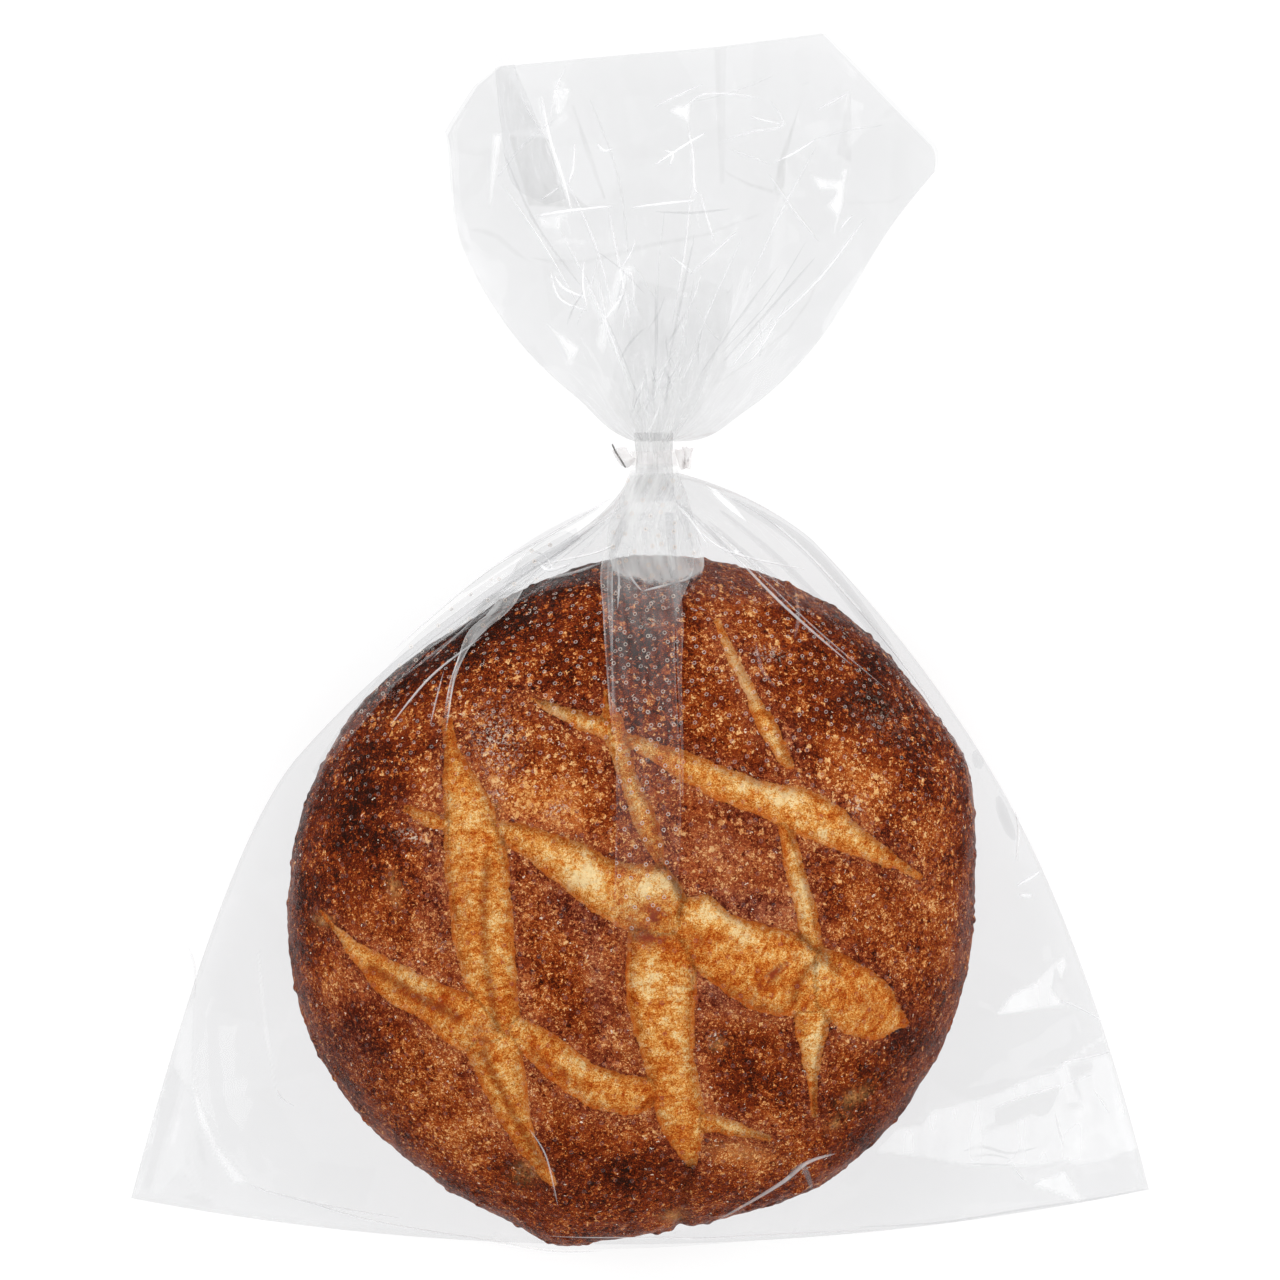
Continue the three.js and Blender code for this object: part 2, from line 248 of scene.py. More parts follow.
def flat(x, y):
    """Points of a plan, at height 0."""
    return np.stack([x, y, 0 * x], axis=-1)


def smooth_line(places, count):
    """Points along a smooth curve through the places, with the same number on each stretch."""
    share = np.linspace(0, 1, count)
    return np.stack([through([place[i] for place in places], share) for i in range(2)], axis=-1)


def line_distance(x, y, places):
    """Distance from each point to a line of straight stretches through the places."""
    here = np.stack([x, y], axis=-1)
    nearest = np.full(x.shape, FAR)
    for start, end in zip(np.array(places[:-1], float), np.array(places[1:], float)):
        side = end - start
        share = np.clip((here - start) @ side / (side @ side + 1e-9), 0, 1)
        off = here - start - share[..., None] * side
        nearest = np.minimum(nearest, np.hypot(off[..., 0], off[..., 1]))
    return nearest


def furrow(x, y, places, width):
    """A bell curve of the distance to a line: 1 on it, and 1/e at that width from it."""
    return np.exp(-((line_distance(x, y, places) / width) ** 2))


def past_edge(x, y, corners):
    """Distance of each point to a polygon's nearest side, below 0 inside it: where a line from the
    point to the far right crosses an odd number of sides."""
    inside = np.zeros(x.shape, bool)
    ring = np.concatenate([corners, corners[:1]])
    for (x0, y0), (x1, y1) in zip(ring[:-1], ring[1:]):
        crossing = x0 + (y - y0) * (x1 - x0) / (y1 - y0 + 1e-9)
        inside ^= ((y0 > y) != (y1 > y)) & (x < crossing)
    return line_distance(x, y, ring) * np.where(inside, -1, 1)


def slash_field(x, y):
    """For each point, the distance past the edge of the nearest slash, below 0 inside it, and how
    far along and off the straight line between that slash's tips it is. A slash is the area
    between two smooth curves."""
    gap = np.full(x.shape, FAR)
    along = np.zeros(x.shape)
    across = np.zeros(x.shape)
    for number, edges in enumerate(SLASHES):
        left, right = (smooth_line(edge, SLASH_STEPS) for edge in edges)
        past = past_edge(x, y, np.concatenate([left, right[::-1]]))
        start = (left[0] + right[0]) / 2
        heading = (left[-1] + right[-1]) / 2 - start
        heading = heading / np.hypot(*heading)
        closer = past < gap
        gap = np.where(closer, past, gap)
        ahead = (x - start[0]) * heading[0] + (y - start[1]) * heading[1]
        aside = (y - start[1]) * heading[0] - (x - start[0]) * heading[1]
        along = np.where(closer, ahead + FIBRES_APART * number, along)
        across = np.where(closer, aside, across)
    return gap, along, across


def mound(x, y, place, reach, turn=0.0):
    """A bell curve about a place: 1 there, and 1/e at each of its two reaches, turned."""
    cos, sin = np.cos(np.radians(turn)), np.sin(np.radians(turn))
    dx, dy = x - place[0], y - place[1]
    return np.exp(-(((dx * cos + dy * sin) / reach[0]) ** 2 + ((dy * cos - dx * sin) / reach[1]) ** 2))


def patched(x, y, patches):
    """Sum of the patches' bell curves: each is given by its place, reach, turn and strength."""
    return sum(strength * mound(x, y, place, reach, turn) for place, reach, turn, strength in patches)


# Lumps where the crumb swelled: place, reach, turn and height.
LUMPS = (
    ((-15, 10), (10, 6.5), -35, 1.2),
    ((6, 6.5), (9, 6), 0, 2.6),
    ((27, -4), (9, 5), -25, 1.4),
    ((47, -20), (11, 8), -28, 1.6),
    ((78, -30), (11, 9), -35, 1.0),
)
# Where the crumb is pale, having opened last, and where it caught the heat and turned red-brown:
# place, reach, turn and strength.
PALE = (
    ((-16, 10.5), (9, 6.5), -35, 1.0),
    ((-30, 19), (9, 3.5), -30, 0.5),
    ((6, 7.5), (8, 5), 0, 1.0),
    ((27, -2), (7, 4), -25, 1.0),
    ((38, -9), (8, 3), -15, 0.5),
    ((61, -20), (5, 4), -30, 0.6),
    ((40, 41), (12, 4), -24, 0.7),
    ((56, 37), (6, 3), -10, 0.7),
    ((64, 26), (8, 3), -25, 0.5),
    ((48, 57), (3, 7), 25, 0.6),
    ((38, 78), (3, 12), 25, 0.9),
    ((4, -26), (4, 7), 0, 0.6),
    ((15, -37), (3, 7), 0, 0.5),
    ((-46.5, -2), (3, 20), 2, 0.3),
    ((-55, 30), (6, 7), 0, 0.3),
    ((58, 6), (3, 14), 14, 0.8),
    ((-24, 66), (12, 3), -20, 0.5),
    ((-2, 40), (3, 22), 22, 0.25),
    ((-38, -66), (3, 18), 30, 0.35),
    ((36, -76), (14, 3), -14, 0.5),
    ((62, -48), (3, 12), 0, 0.6),
    ((80, 28), (12, 3), -40, 0.5),
    ((-16, -56), (12, 2.5), -30, 0.4),
    ((-78, -23), (14, 2.5), -26, 0.3),
)
RUST = (
    ((6, -4), (5.5, 4), 0, 1.2),
    ((6, -10.5), (10, 2.2), -5, 1.0),
    ((46, -25), (5, 1.8), 42, 1.0),
    ((51, -20), (6, 1.4), 32, 0.8),
    ((36, -13), (7, 1.6), -20, 0.5),
    ((42, -33), (13, 1.8), -22, 0.6),
    ((-72, -32), (18, 3), -28, 0.8),
    ((-52, -46), (4, 7), 0, 0.6),
    ((-27, -55), (14, 2), -38, 0.6),
    ((-57, 2), (3, 16), 2, 0.35),
    ((-62, -4), (2, 20), 4, 0.4),
    ((22, -12), (4, 3), -40, 0.6),
    ((80, -34), (9, 7), -35, 0.3),
)
# Furrows in the crumb.
CREASES = (
    ((-50, 16), (-51.5, 0), (-50, -22), (-47, -42)),
    ((57, -10.5), (64, -15.5), (70, -22)),
    ((66, -17), (60, -21), (56, -27), (55, -32)),
    ((-52, -50), (-46, -62), (-39, -76), (-31, -89)),
    ((-90, -21), (-76, -30), (-60, -38)),
    ((13.5, 11.5), (16.5, 4), (16, -2)),
)
# Where two lobes of dough met at the rim.
CLEFT = ((19.6, -90), (17.5, -104), (16, -118))
# Where the crust baked darker than the rest, or lighter if below 0.
BAKED = (
    ((-94, 34), (17, 44), -24, 0.26),
    ((-50, 98), (40, 15), 24, 0.27),
    ((76, 76), (22, 14), -42, 0.2),
    ((96, 54), (9, 26), 28, 0.14),
    ((-20, 96), (10, 14), 0, 0.12),
    ((4, 92), (14, 24), 0, 0.24),
    ((60, 88), (20, 9), -36, 0.1),
    ((92, 16), (10, 20), 0, 0.08),
    ((-80, -60), (24, 20), 0, 0.06),
    ((2, -94), (40, 12), 0, 0.24),
    ((42, -54), (18, 12), -10, 0.12),
    ((74, -66), (20, 9), 38, 0.2),
    ((-96, -46), (9, 16), 14, 0.12),
    ((-26, -80), (12, 9), -30, 0.1),
    ((-32, 36), (17, 9), -8, -0.26),
    ((-78, 64), (12, 6), 20, -0.16),
    ((-72, 44), (6, 13), 10, -0.14),
    ((70, 82), (7, 12), 20, -0.14),
    ((80, 42), (13, 9), -30, -0.16),
    ((98, -14), (9, 22), -10, -0.03),
    ((-60, -72), (10, 12), 30, -0.06),
    ((34, -86), (14, 4), 0, -0.16),
    ((92, -46), (12, 16), 20, 0.12),
    ((-28, 50), (12, 10), 0, -0.02),
)
# Where the crust is painted plum: painted sheen of the film over the dark crust.
PAINTED_PLUM_SHEEN = (
    ((28, 20), (20, 12), -20, 0.5),
    ((42, 1), (14, 5), -14, 0.7),
    ((-12, -26), (4, 26), 8, 0.6),
    ((-70, 2), (5, 20), -4, 0.4),
    ((-97, -44), (8, 14), 14, 0.5),
    ((54, 58), (5, 5), 0, 0.4),
    ((-24, -2), (12, 6), -40, 0.4),
    ((28, -30), (5, 9), 35, 0.6),
)
# Pale patches of crust, tan or dusted with flour.
TAN_PATCHES = (
    ((-107, -5), (3, 2), 0, 1.0),
    ((-82, 6), (2, 5), 10, 0.8),
    ((29, -47), (3, 2), 0, 0.5),
    ((76, -66), (5, 2.4), 30, 0.7),
    ((70, -75), (4, 1.6), 30, 0.7),
    ((36, -85), (10, 3), -8, 0.5),
    ((14, -108), (4, 2), 0, 0.8),
    ((-36, -91), (5, 3.5), 30, 0.6),
    ((-46, 34), (3, 2), 0, 0.5),
)
FLOUR_PATCHES = (
    ((-47, 57), (6, 9), 10, 1.0),
    ((-76, 24), (5, 2), -15, 1.0),
    ((27.4, -44.2), (1.6, 1.6), 0, 1.3),
    ((47, 87), (5, 2), -10, 0.8),
    ((77, 35), (2, 3), 0, 0.9),
    ((-26, 34), (4, 2), 20, 0.9),
    ((-46, 38.5), (1.6, 1.6), 0, 1.3),
    ((6, 98), (3, 1.5), 0, 1.0),
    ((-66, -13), (1.3, 1.3), 0, 1.3),
    ((84, 66), (10, 6), -40, 0.2),
)
# Noise, by weight, size and seed: how the slashes' edges stray, the closed crust's wrinkles, and
# the tears in the open crumb.
RAGGED_EDGE = ((0.7, 9.0, 1), (0.5, 3.6, 2))
WRINKLES = ((0.55, 9.0, 3), (0.32, 3.6, 4), (0.2, 1.9, 5))
TEARS = ((0.35, 3.0, 7), (0.25, 1.7, 8))
BLISTER_HEIGHT = 0.75
BLISTER_SIZE = 4.2


def crust_shape(share, turn):
    """Points of the crust, and what is worked out on the way. Height is the dome, heaved, with
    lips along the slashes and a step down inside them that fills again towards the middle. The
    open crumb's lumps are added, and its creases taken away."""
    radius = share * loaf_radius(turn)
    x, y = radius * np.cos(np.radians(turn)), radius * np.sin(np.radians(turn))
    bowl = np.stack([x, y, 40 * share**4], axis=-1)
    gap, along, across = slash_field(x, y)
    gap = gap - 0.5 + swells(bowl, RAGGED_EDGE)
    inside = np.clip(-gap, 0, None)
    fill = CUT_FILL * (1 - np.exp(-np.clip(inside - 1.2, 0, None) / FILL_REACH))
    lip = LIP_HEIGHT * np.exp(-((np.clip(gap, 0, None) / LIP_WIDTH) ** 2))
    lip = lip * ease(share, 1.05, 0.85)
    cut = lip * ease(gap, -1.2, 0.2) - CUT_DEPTH * ease(inside, 0, 1.3) + fill
    z = WAIST_HEIGHT + (LOAF_HEIGHT - WAIST_HEIGHT + heave(x, y) + cut) * dome(share)
    z += patched(x, y, LUMPS) * ease(inside, 0, 3)
    for crease in CREASES:
        z -= CREASE_DEPTH * furrow(x, y, crease, CREASE_WIDTH) * ease(inside, 0, 2)
    return np.stack([x, y, z], axis=-1), gap, along, across


def roughened(points, normals, open_crumb):
    """Points moved along the normals by the crust's small relief: wrinkles of three sizes and
    round blisters on the closed crust, and a finer tear on the open crumb."""
    wrinkle = swells(points, WRINKLES)
    away, strength = blisters(points, BLISTER_SIZE, 6)
    bubble = BLISTER_HEIGHT * ease(away, 0.55, 0.1) * ease(strength, 0.5, 1.0)
    relief = mix(wrinkle + bubble, swells(points, TEARS), open_crumb)
    return points + normals * relief[..., None]


def grid_normals(points):
    """Unit normals of a grid of points: the cross product of its steps along the two sides."""
    normals = np.cross(np.gradient(points, axis=1), np.gradient(points, axis=0))
    return normals / np.linalg.norm(normals, axis=-1, keepdims=True)


def grid_faces(rows, columns, first=0, closed=False):
    """Quads of a grid of points numbered row by row from the first; a closed grid joins its last
    column to its first."""
    row = np.arange(rows - 1)[:, None] * columns + first
    near = np.arange(columns if closed else columns - 1)[None, :]
    far = (near + 1) % columns
    corners = [row + near, row + far, row + columns + far, row + columns + near]
    return np.stack(corners, axis=-1).reshape(-1, 4)


def make_piece(name, points, faces, layers, material, node):
    """A mesh object whose points, in millimetres about the loaf, are moved to the frame. Each
    layer is a named value, or a place on the flat film, that the mesh carries at its points."""
    mesh = bpy.data.meshes.new(name)
    placed = (points.reshape(-1, 3) + LOAF_PLACE) / 1000
    mesh.from_pydata(placed.tolist(), [], faces)
    for label, values in layers.items():
        wide = values.size > len(placed)
        kind = "FLOAT_VECTOR" if wide else "FLOAT"
        attribute = mesh.attributes.new(label, kind, "POINT")
        attribute.data.foreach_set("vector" if wide else "value", values.astype(np.float32).ravel())
    mesh.polygons.foreach_set("use_smooth", [True] * len(mesh.polygons))
    mesh.materials.append(material)
    mesh.update()
    made = bpy.data.objects.new(name, mesh)
    bpy.context.collection.objects.link(made)
    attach(made, "root")
    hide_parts(node)


# The crust's rows are even along its profile, not across it, so that the steep rim is as fine.
steps = np.linspace(0, 1, 4001)
profile = np.cumsum(
    np.hypot(
        np.diff(steps * LOAF_RADIUS, prepend=0),
        np.diff(dome(steps) * (LOAF_HEIGHT - WAIST_HEIGHT), prepend=LOAF_HEIGHT - WAIST_HEIGHT),
    )
)
out, turn = disc(CRUST_CELLS)
share = np.interp(out * profile[-1], profile, steps)
top, gap, along, across = crust_shape(share, turn)
open_crumb = ease(-gap, -0.3, 0.6)

# The flank under the waist is a quarter ellipse down to the base's edge, shut by one flat face.
corner = CRUST_CELLS - 1
walk = np.arange(corner)
rim_row = np.concatenate([0 * walk, walk, 0 * walk + corner, corner - walk])
rim_column = np.concatenate([walk, 0 * walk + corner, corner - walk, 0 * walk])
rim_turn = turn[rim_row, rim_column]
fall = np.linspace(0, 90, FLANK_ROWS + 1)[1:, None]
flank_radius = loaf_radius(rim_turn) * mix(BASE_SHARE, 1, np.cos(np.radians(fall)))
flank = np.stack(
    [
        flank_radius * np.cos(np.radians(rim_turn)),
        flank_radius * np.sin(np.radians(rim_turn)),
        mix(WAIST_HEIGHT, BASE_LIFT, np.sin(np.radians(fall))) + 0 * flank_radius,
    ],
    axis=-1,
)
top_normals = grid_normals(top)
outward = np.stack([np.cos(np.radians(rim_turn)), np.sin(np.radians(rim_turn)), 0 * rim_turn], axis=-1)
top_normals[rim_row, rim_column] = outward
slope = np.radians(fall)[..., None]
flank_normals = np.cos(slope) * outward + np.sin(slope) * np.array([0, 0, -1.0])
flank_normals *= ease(slope, np.pi / 2, 1.2)

# The rim has a cleft where two lobes of dough met, and a ragged ledge beside it.
CLEFT_DEPTH = 1.8
CLEFT_WIDTH = 2.2
LEDGE_HEIGHT = 1.6
LEDGE_PLACE = (64, -98)
LEDGE_REACH = (20, 6)
LEDGE_TURN = 28
cleft_top = furrow(top[..., 0], top[..., 1], CLEFT, CLEFT_WIDTH)
cleft_flank = furrow(flank[..., 0], flank[..., 1], CLEFT, CLEFT_WIDTH)
ledge = mound(top[..., 0], top[..., 1], LEDGE_PLACE, LEDGE_REACH, LEDGE_TURN)
top = roughened(top, top_normals, open_crumb)
ledge_rise = LEDGE_HEIGHT * ledge * swell(top, 4.0, 9) ** 2
top = top - top_normals * (CLEFT_DEPTH * cleft_top - ledge_rise)[..., None]
flank = roughened(flank, flank_normals, 0 * flank_radius)
flank = flank - flank_normals * (CLEFT_DEPTH * cleft_flank)[..., None]

x, y = top[..., 0], top[..., 1]
# How hard each place is baked, 0 to 1: harder at the rim, and uneven in patches and in noise.
EVEN_BAKE = 0.52
RIM_BAKE = 0.16
PATCH_BAKE = 1.45
BAKE_NOISE = ((0.1, 19.0, 10), (0.08, 8.0, 11))
bake = EVEN_BAKE + RIM_BAKE * ease(share, 0.86, 1.0) + PATCH_BAKE * patched(x, y, BAKED)
bake = bake + swells(top, BAKE_NOISE)
# Painted shade in the crumb's furrows; with the rim's cleft it makes the crease layer.
painted_crease_shade = sum(furrow(x, y, crease, 1.6) for crease in CREASES)

crust_points = np.concatenate([top.reshape(-1, 3), flank.reshape(-1, 3)])
first = top.shape[0] * top.shape[1]
rim = rim_row * CRUST_CELLS + rim_column
ring = len(rim)
# The first row of the flank joins the rim of the top, whose points are numbered on their own.
under_rim = first + np.arange(ring)
join = np.stack([rim, np.roll(rim, -1), np.roll(under_rim, -1), under_rim], axis=-1)
top_faces = grid_faces(CRUST_CELLS, CRUST_CELLS)
flank_faces = grid_faces(FLANK_ROWS, ring, first, closed=True)[:, ::-1]
base_face = (first + (FLANK_ROWS - 1) * ring + np.arange(ring)).tolist()
faces = top_faces.tolist() + join[:, ::-1].tolist() + flank_faces.tolist() + [base_face[::-1]]


def over_flank(values, below):
    """A layer's values on the crust, carried on down the flank as one value or as the rim's."""
    return np.concatenate([values.ravel(), np.broadcast_to(below, flank_radius.shape).ravel()])


layers = {
    "cut_gap": over_flank(gap, 20.0),
    "cut_along": over_flank(along, along[rim_row, rim_column]),
    "cut_across": over_flank(across, 0.0),
    "bake": over_flank(bake, bake[rim_row, rim_column]),
    "pale": over_flank(patched(x, y, PALE), 0.0),
    "rust": over_flank(patched(x, y, RUST), 0.0),
    # Painted sheen of the film, as plum patches.
    "painted_plum": over_flank(patched(x, y, PAINTED_PLUM_SHEEN), 0.0),
    "tan": over_flank(patched(x, y, TAN_PATCHES), 0.0),
    "flour": over_flank(patched(x, y, FLOUR_PATCHES), 0.0),
    "blistered": over_flank(ease(y, -30, 50), 0.2),
    "crease": over_flank(np.clip(painted_crease_shade + cleft_top, 0, 1), cleft_flank),
}

# ---------------------------------------------------------------- the loaf's crust
# Baked dough: a closed crust, reddish brown to nearly black and freckled with lighter grains of
# flour, slightly shiny, and the golden crumb that shows where the slashes tore open.


def paint(red, green, blue):
    """A linear colour from one written in the usual 0 to 255 steps."""
    share = np.array([red, green, blue]) / 255
    linear = np.where(share <= 0.04045, share / 12.92, ((share + 0.055) / 1.055) ** 2.4)
    return (*linear.tolist(), 1.0)


def add(tree, kind, inputs=None, **settings):
    """A new shader node: settings are its own, and inputs are values or the sockets that feed."""
    node = tree.nodes.new(kind)
    for name, value in settings.items():
        setattr(node, name, value)
    for socket, value in (inputs or {}).items():
        if isinstance(value, bpy.types.NodeSocket):
            tree.links.new(value, node.inputs[socket])
        else:
            node.inputs[socket].default_value = value
    return node


def math(tree, operation, first, second=0.0, clamp=False):
    """The result of a Math node on two values or sockets."""
    inputs = {0: first, 1: second}
    return add(tree, "ShaderNodeMath", inputs, operation=operation, use_clamp=clamp).outputs[0]


def plus(tree, first, second):
    """The sum of two values or sockets."""
    return math(tree, "ADD", first, second)


def minus(tree, first, second):
    """What is left of the first value or socket when the second is taken from it."""
    return math(tree, "SUBTRACT", first, second)


def times(tree, first, second):
    """The product of two values or sockets."""
    return math(tree, "MULTIPLY", first, second)


def varied(tree, value, parts):
    """A value plus how far each part is from 0.5, times the part's weight."""
    for part, weight in parts:
        value = plus(tree, value, times(tree, minus(tree, part, 0.5), weight))
    return value


def shifted(tree, operation, first, second):
    """The result of a Vector Math node on two vectors or sockets."""
    return add(tree, "ShaderNodeVectorMath", {0: first, 1: second}, operation=operation).outputs[0]


def band(tree, value, low, high):
    """0 to 1 as the value goes from low to high, eased at both ends."""
    inputs = {"Value": value, "From Min": low, "From Max": high}
    return add(tree, "ShaderNodeMapRange", inputs, interpolation_type="SMOOTHSTEP").outputs[0]


def layer(tree, name, output="Fac"):
    """A value that the mesh carries, or 0 where it doesn't."""
    return add(tree, "ShaderNodeAttribute", attribute_name=name).outputs[output]


def noise(tree, place, scale, detail=2.0, rough=0.5, output="Fac"):
    """Noise with that many waves to the millimetre."""
    inputs = {"Vector": place, "Scale": scale, "Detail": detail, "Roughness": rough}
    return add(tree, "ShaderNodeTexNoise", inputs).outputs[output]


def blend(tree, share, first, second, kind="MIX"):
    """Two colours or colour sockets, mixed by a share."""
    inputs = {0: share, 6: first, 7: second}
    return add(tree, "ShaderNodeMix", inputs, data_type="RGBA", blend_type=kind).outputs[2]


def ramp(tree, value, stops):
    """A colour ramp with those (place, colour) stops."""
    node = add(tree, "ShaderNodeValToRGB", {0: value})
    elements = node.color_ramp.elements
    for number, (place, colour) in enumerate(stops):
        element = elements[number] if number < 2 else elements.new(place)
        element.position = place
        element.color = colour
    return node.outputs[0]


def new_material(name):
    """An empty node material and its tree."""
    material = bpy.data.materials.new(name)
    material.use_nodes = True
    material.node_tree.nodes.clear()
    return material, material.node_tree


def millimetres(tree):
    """Object coordinates in millimetres."""
    coordinates = add(tree, "ShaderNodeTexCoord").outputs["Object"]
    return add(tree, "ShaderNodeMapping", {"Vector": coordinates, "Scale": (1000, 1000, 1000)}).outputs[0]


crust, tree = new_material("baked crust")
place = millimetres(tree)

# Closed crust: baked darker or lighter in patches, with blisters and grains of flour on it that
# took another brown.
coarse = noise(tree, place, 0.07, 3.0, 0.6)
medium = noise(tree, place, 0.3, 3.0, 0.6)
fine = noise(tree, place, 1.1, 3.0, 0.65)
grain = noise(tree, place, 2.2, 1.0, 0.5)
wobble = noise(tree, place, 0.7, 2.0, 0.6, "Color")
bent = shifted(tree, "ADD", place, shifted(tree, "MULTIPLY", wobble, (3.4, 3.4, 3.4)))
pebbles = {"Vector": bent, "Scale": 0.85, "Randomness": 1.0}
pebble = add(tree, "ShaderNodeTexVoronoi", pebbles).outputs["Distance"]
rugged = band(tree, noise(tree, place, 0.035, 2.0, 0.5), 0.4, 0.6)
rugged = plus(tree, times(tree, rugged, 0.3), 0.2)
# The pebbles in the tone are painted light: each small blister lighter in its middle, darker between.
crust_parts = ((coarse, 0.8), (medium, 0.5), (fine, 0.34), (grain, 0.28), (pebble, rugged))
baked = varied(tree, layer(tree, "bake"), crust_parts)


def specks(place, scale, size, few, many):
    """A mask of round specks, one at most to each cell: those whose random number is high."""
    cells = add(tree, "ShaderNodeTexVoronoi", {"Vector": place, "Scale": scale, "Randomness": 1.0})
    chance = add(tree, "ShaderNodeSeparateColor", {0: cells.outputs["Color"]}).outputs[0]
    spot = band(tree, cells.outputs["Distance"], size, size * 0.75)
    return times(tree, spot, band(tree, chance, few, many))


# Each kind of speck: cells to the millimetre, size, the random numbers between which it comes in,
# how much darker it is, and how much more so towards the neck.
SPECKS = (
    (0.17, 0.34, 0.68, 0.8, -0.12, -0.16),
    (0.3, 0.34, 0.6, 0.75, -0.2, -0.24),
    (0.6, 0.34, 0.55, 0.7, -0.32, -0.12),
    (1.1, 0.4, 0.58, 0.7, -0.38, 0.0),
    (1.9, 0.42, 0.6, 0.7, -0.34, 0.1),
    (0.4, 0.4, 0.6, 0.9, 0.2, 0.0),
    (1.3, 0.42, 0.6, 0.75, 0.26, 0.0),
)
for scale, size, few, many, change, more in SPECKS:
    strength = plus(tree, times(tree, layer(tree, "blistered"), more), change)
    mask = specks(bent, scale, size, few, many)
    baked = plus(tree, baked, times(tree, mask, strength))
# Each size of flake: waves to the millimetre, the noise between which it comes in, and how much
# darker it is.
FLAKES = (
    (0.4, 0.59, 0.69, -0.36),
    (0.85, 0.6, 0.69, -0.3),
    (0.6, 0.44, 0.32, 0.24),
)
for scale, low, high, change in FLAKES:
    flake = band(tree, noise(tree, place, scale, 3.0, 0.6), low, high)
    baked = plus(tree, baked, times(tree, flake, change))
closed = ramp(
    tree,
    baked,
    (
        (0.0, paint(240, 190, 130)),
        (1.0, paint(38, 12, 3)),
        (0.12, paint(216, 146, 80)),
        (0.28, paint(189, 100, 40)),
        (0.42, paint(161, 71, 23)),
        (0.56, paint(131, 48, 12)),
        (0.72, paint(98, 30, 5)),
        (0.86, paint(69, 20, 3)),
    ),
)
amber = times(tree, band(tree, layer(tree, "bake"), 0.52, 0.2), 0.85)
closed = blend(tree, amber, closed, (0.95, 0.78, 0.55, 1), "MULTIPLY")
# Painted plum: painted shade and film sheen along the slash edges, painted film sheen in the patches.
painted_plum = times(tree, band(tree, layer(tree, "cut_gap"), 8.0, 0.0), 0.16)
painted_plum = plus(tree, painted_plum, times(tree, layer(tree, "painted_plum"), 0.5))
plum_colour = blend(tree, band(tree, baked, 0.2, 0.8), (0.42, 0.17, 0.12, 1), paint(74, 26, 22))
closed = blend(tree, painted_plum, closed, plum_colour)
tan_mask = times(tree, layer(tree, "tan"), band(tree, medium, 0.3, 0.55))
tan_mask = times(tree, tan_mask, band(tree, fine, 0.3, 0.6))
closed = blend(tree, tan_mask, closed, paint(206, 146, 86))
dusted = band(tree, noise(tree, place, 0.9, 3.0, 0.7), 0.5, 0.6)
flour_and_glints = times(tree, times(tree, layer(tree, "flour"), dusted), 0.85)
# Flour dust and painted glints: the small pale specks added here are painted glints.
flour_and_glints = math(tree, "MAXIMUM", flour_and_glints, specks(bent, 0.5, 0.2, 0.8, 0.9))
closed = blend(tree, flour_and_glints, closed, paint(232, 212, 190))

# Open crumb: golden and fibrous, browner in blotches and pale where it swelled last.
drawn_out = times(tree, layer(tree, "cut_across"), 0.4)
fibre_place = add(tree, "ShaderNodeCombineXYZ", {0: layer(tree, "cut_along"), 1: drawn_out}).outputs[0]
fibres = noise(tree, fibre_place, 0.5, 4.0, 0.65)
torn = {"Vector": place, "Scale": 0.1, "Detail": 5.0, "Roughness": 0.55, "Distortion": 0.9}
blotch = add(tree, "ShaderNodeTexNoise", torn).outputs["Fac"]
torn = {"Vector": place, "Scale": 0.3, "Detail": 3.0, "Distortion": 1.8}
ragged = add(tree, "ShaderNodeTexNoise", torn).outputs["Fac"]
veins = band(tree, math(tree, "ABSOLUTE", minus(tree, ragged, 0.5)), 0.05, 0.0)
gilt = band(tree, layer(tree, "cut_gap"), -5.0, -0.5)
pale = layer(tree, "pale")
tone = plus(tree, times(tree, pale, 0.58), times(tree, gilt, 0.06))
crumb_parts = ((blotch, 1.4), (fibres, 1.5), (fine, 1.0), (medium, 0.6), (grain, 0.95))
tone = varied(tree, tone, crumb_parts)
tone = plus(tree, minus(tree, tone, times(tree, veins, 0.26)), 0.49)
crumb = ramp(
    tree,
    tone,
    (
        (0.0, paint(164, 60, 8)),
        (1.0, paint(252, 220, 162)),
        (0.26, paint(201, 102, 28)),
        (0.5, paint(223, 143, 60)),
        (0.74, paint(240, 182, 100)),
    ),
)
toast = band(tree, noise(tree, place, 0.5, 3.0, 0.6), 0.53, 0.66)
not_pale = math(tree, "SUBTRACT", 0.5, times(tree, pale, 0.4), clamp=True)
crumb = blend(tree, times(tree, toast, not_pale), crumb, paint(184, 88, 24))
rust_mask = times(tree, layer(tree, "rust"), band(tree, medium, 0.35, 0.6))
crumb = blend(tree, rust_mask, crumb, paint(150, 62, 32))
# Painted shade in the furrows and the cleft: the crumb turns browner there.
crumb = blend(tree, times(tree, layer(tree, "crease"), 0.35), crumb, paint(150, 62, 20))
browned = times(tree, band(tree, layer(tree, "cut_gap"), -2.6, -0.4), 0.4)
crumb = blend(tree, browned, crumb, paint(204, 92, 28))
# Painted shade: a thin darker line along each slash edge, where the crust's lip shades the crumb.
painted_edge_shade = band(tree, math(tree, "ABSOLUTE", plus(tree, layer(tree, "cut_gap"), 0.3)), 0.9, 0.1)
crumb = blend(tree, times(tree, painted_edge_shade, 0.2), crumb, paint(140, 58, 22))
edge = varied(tree, layer(tree, "cut_gap"), ((medium, 1.3), (fine, 1.2)))
opened = band(tree, edge, 0.2, -0.2)
colour = blend(tree, opened, closed, crumb)
# More painted shade in the furrows and the cleft, over crust and crumb alike.
colour = blend(tree, times(tree, layer(tree, "crease"), 0.25), colour, paint(70, 34, 22))

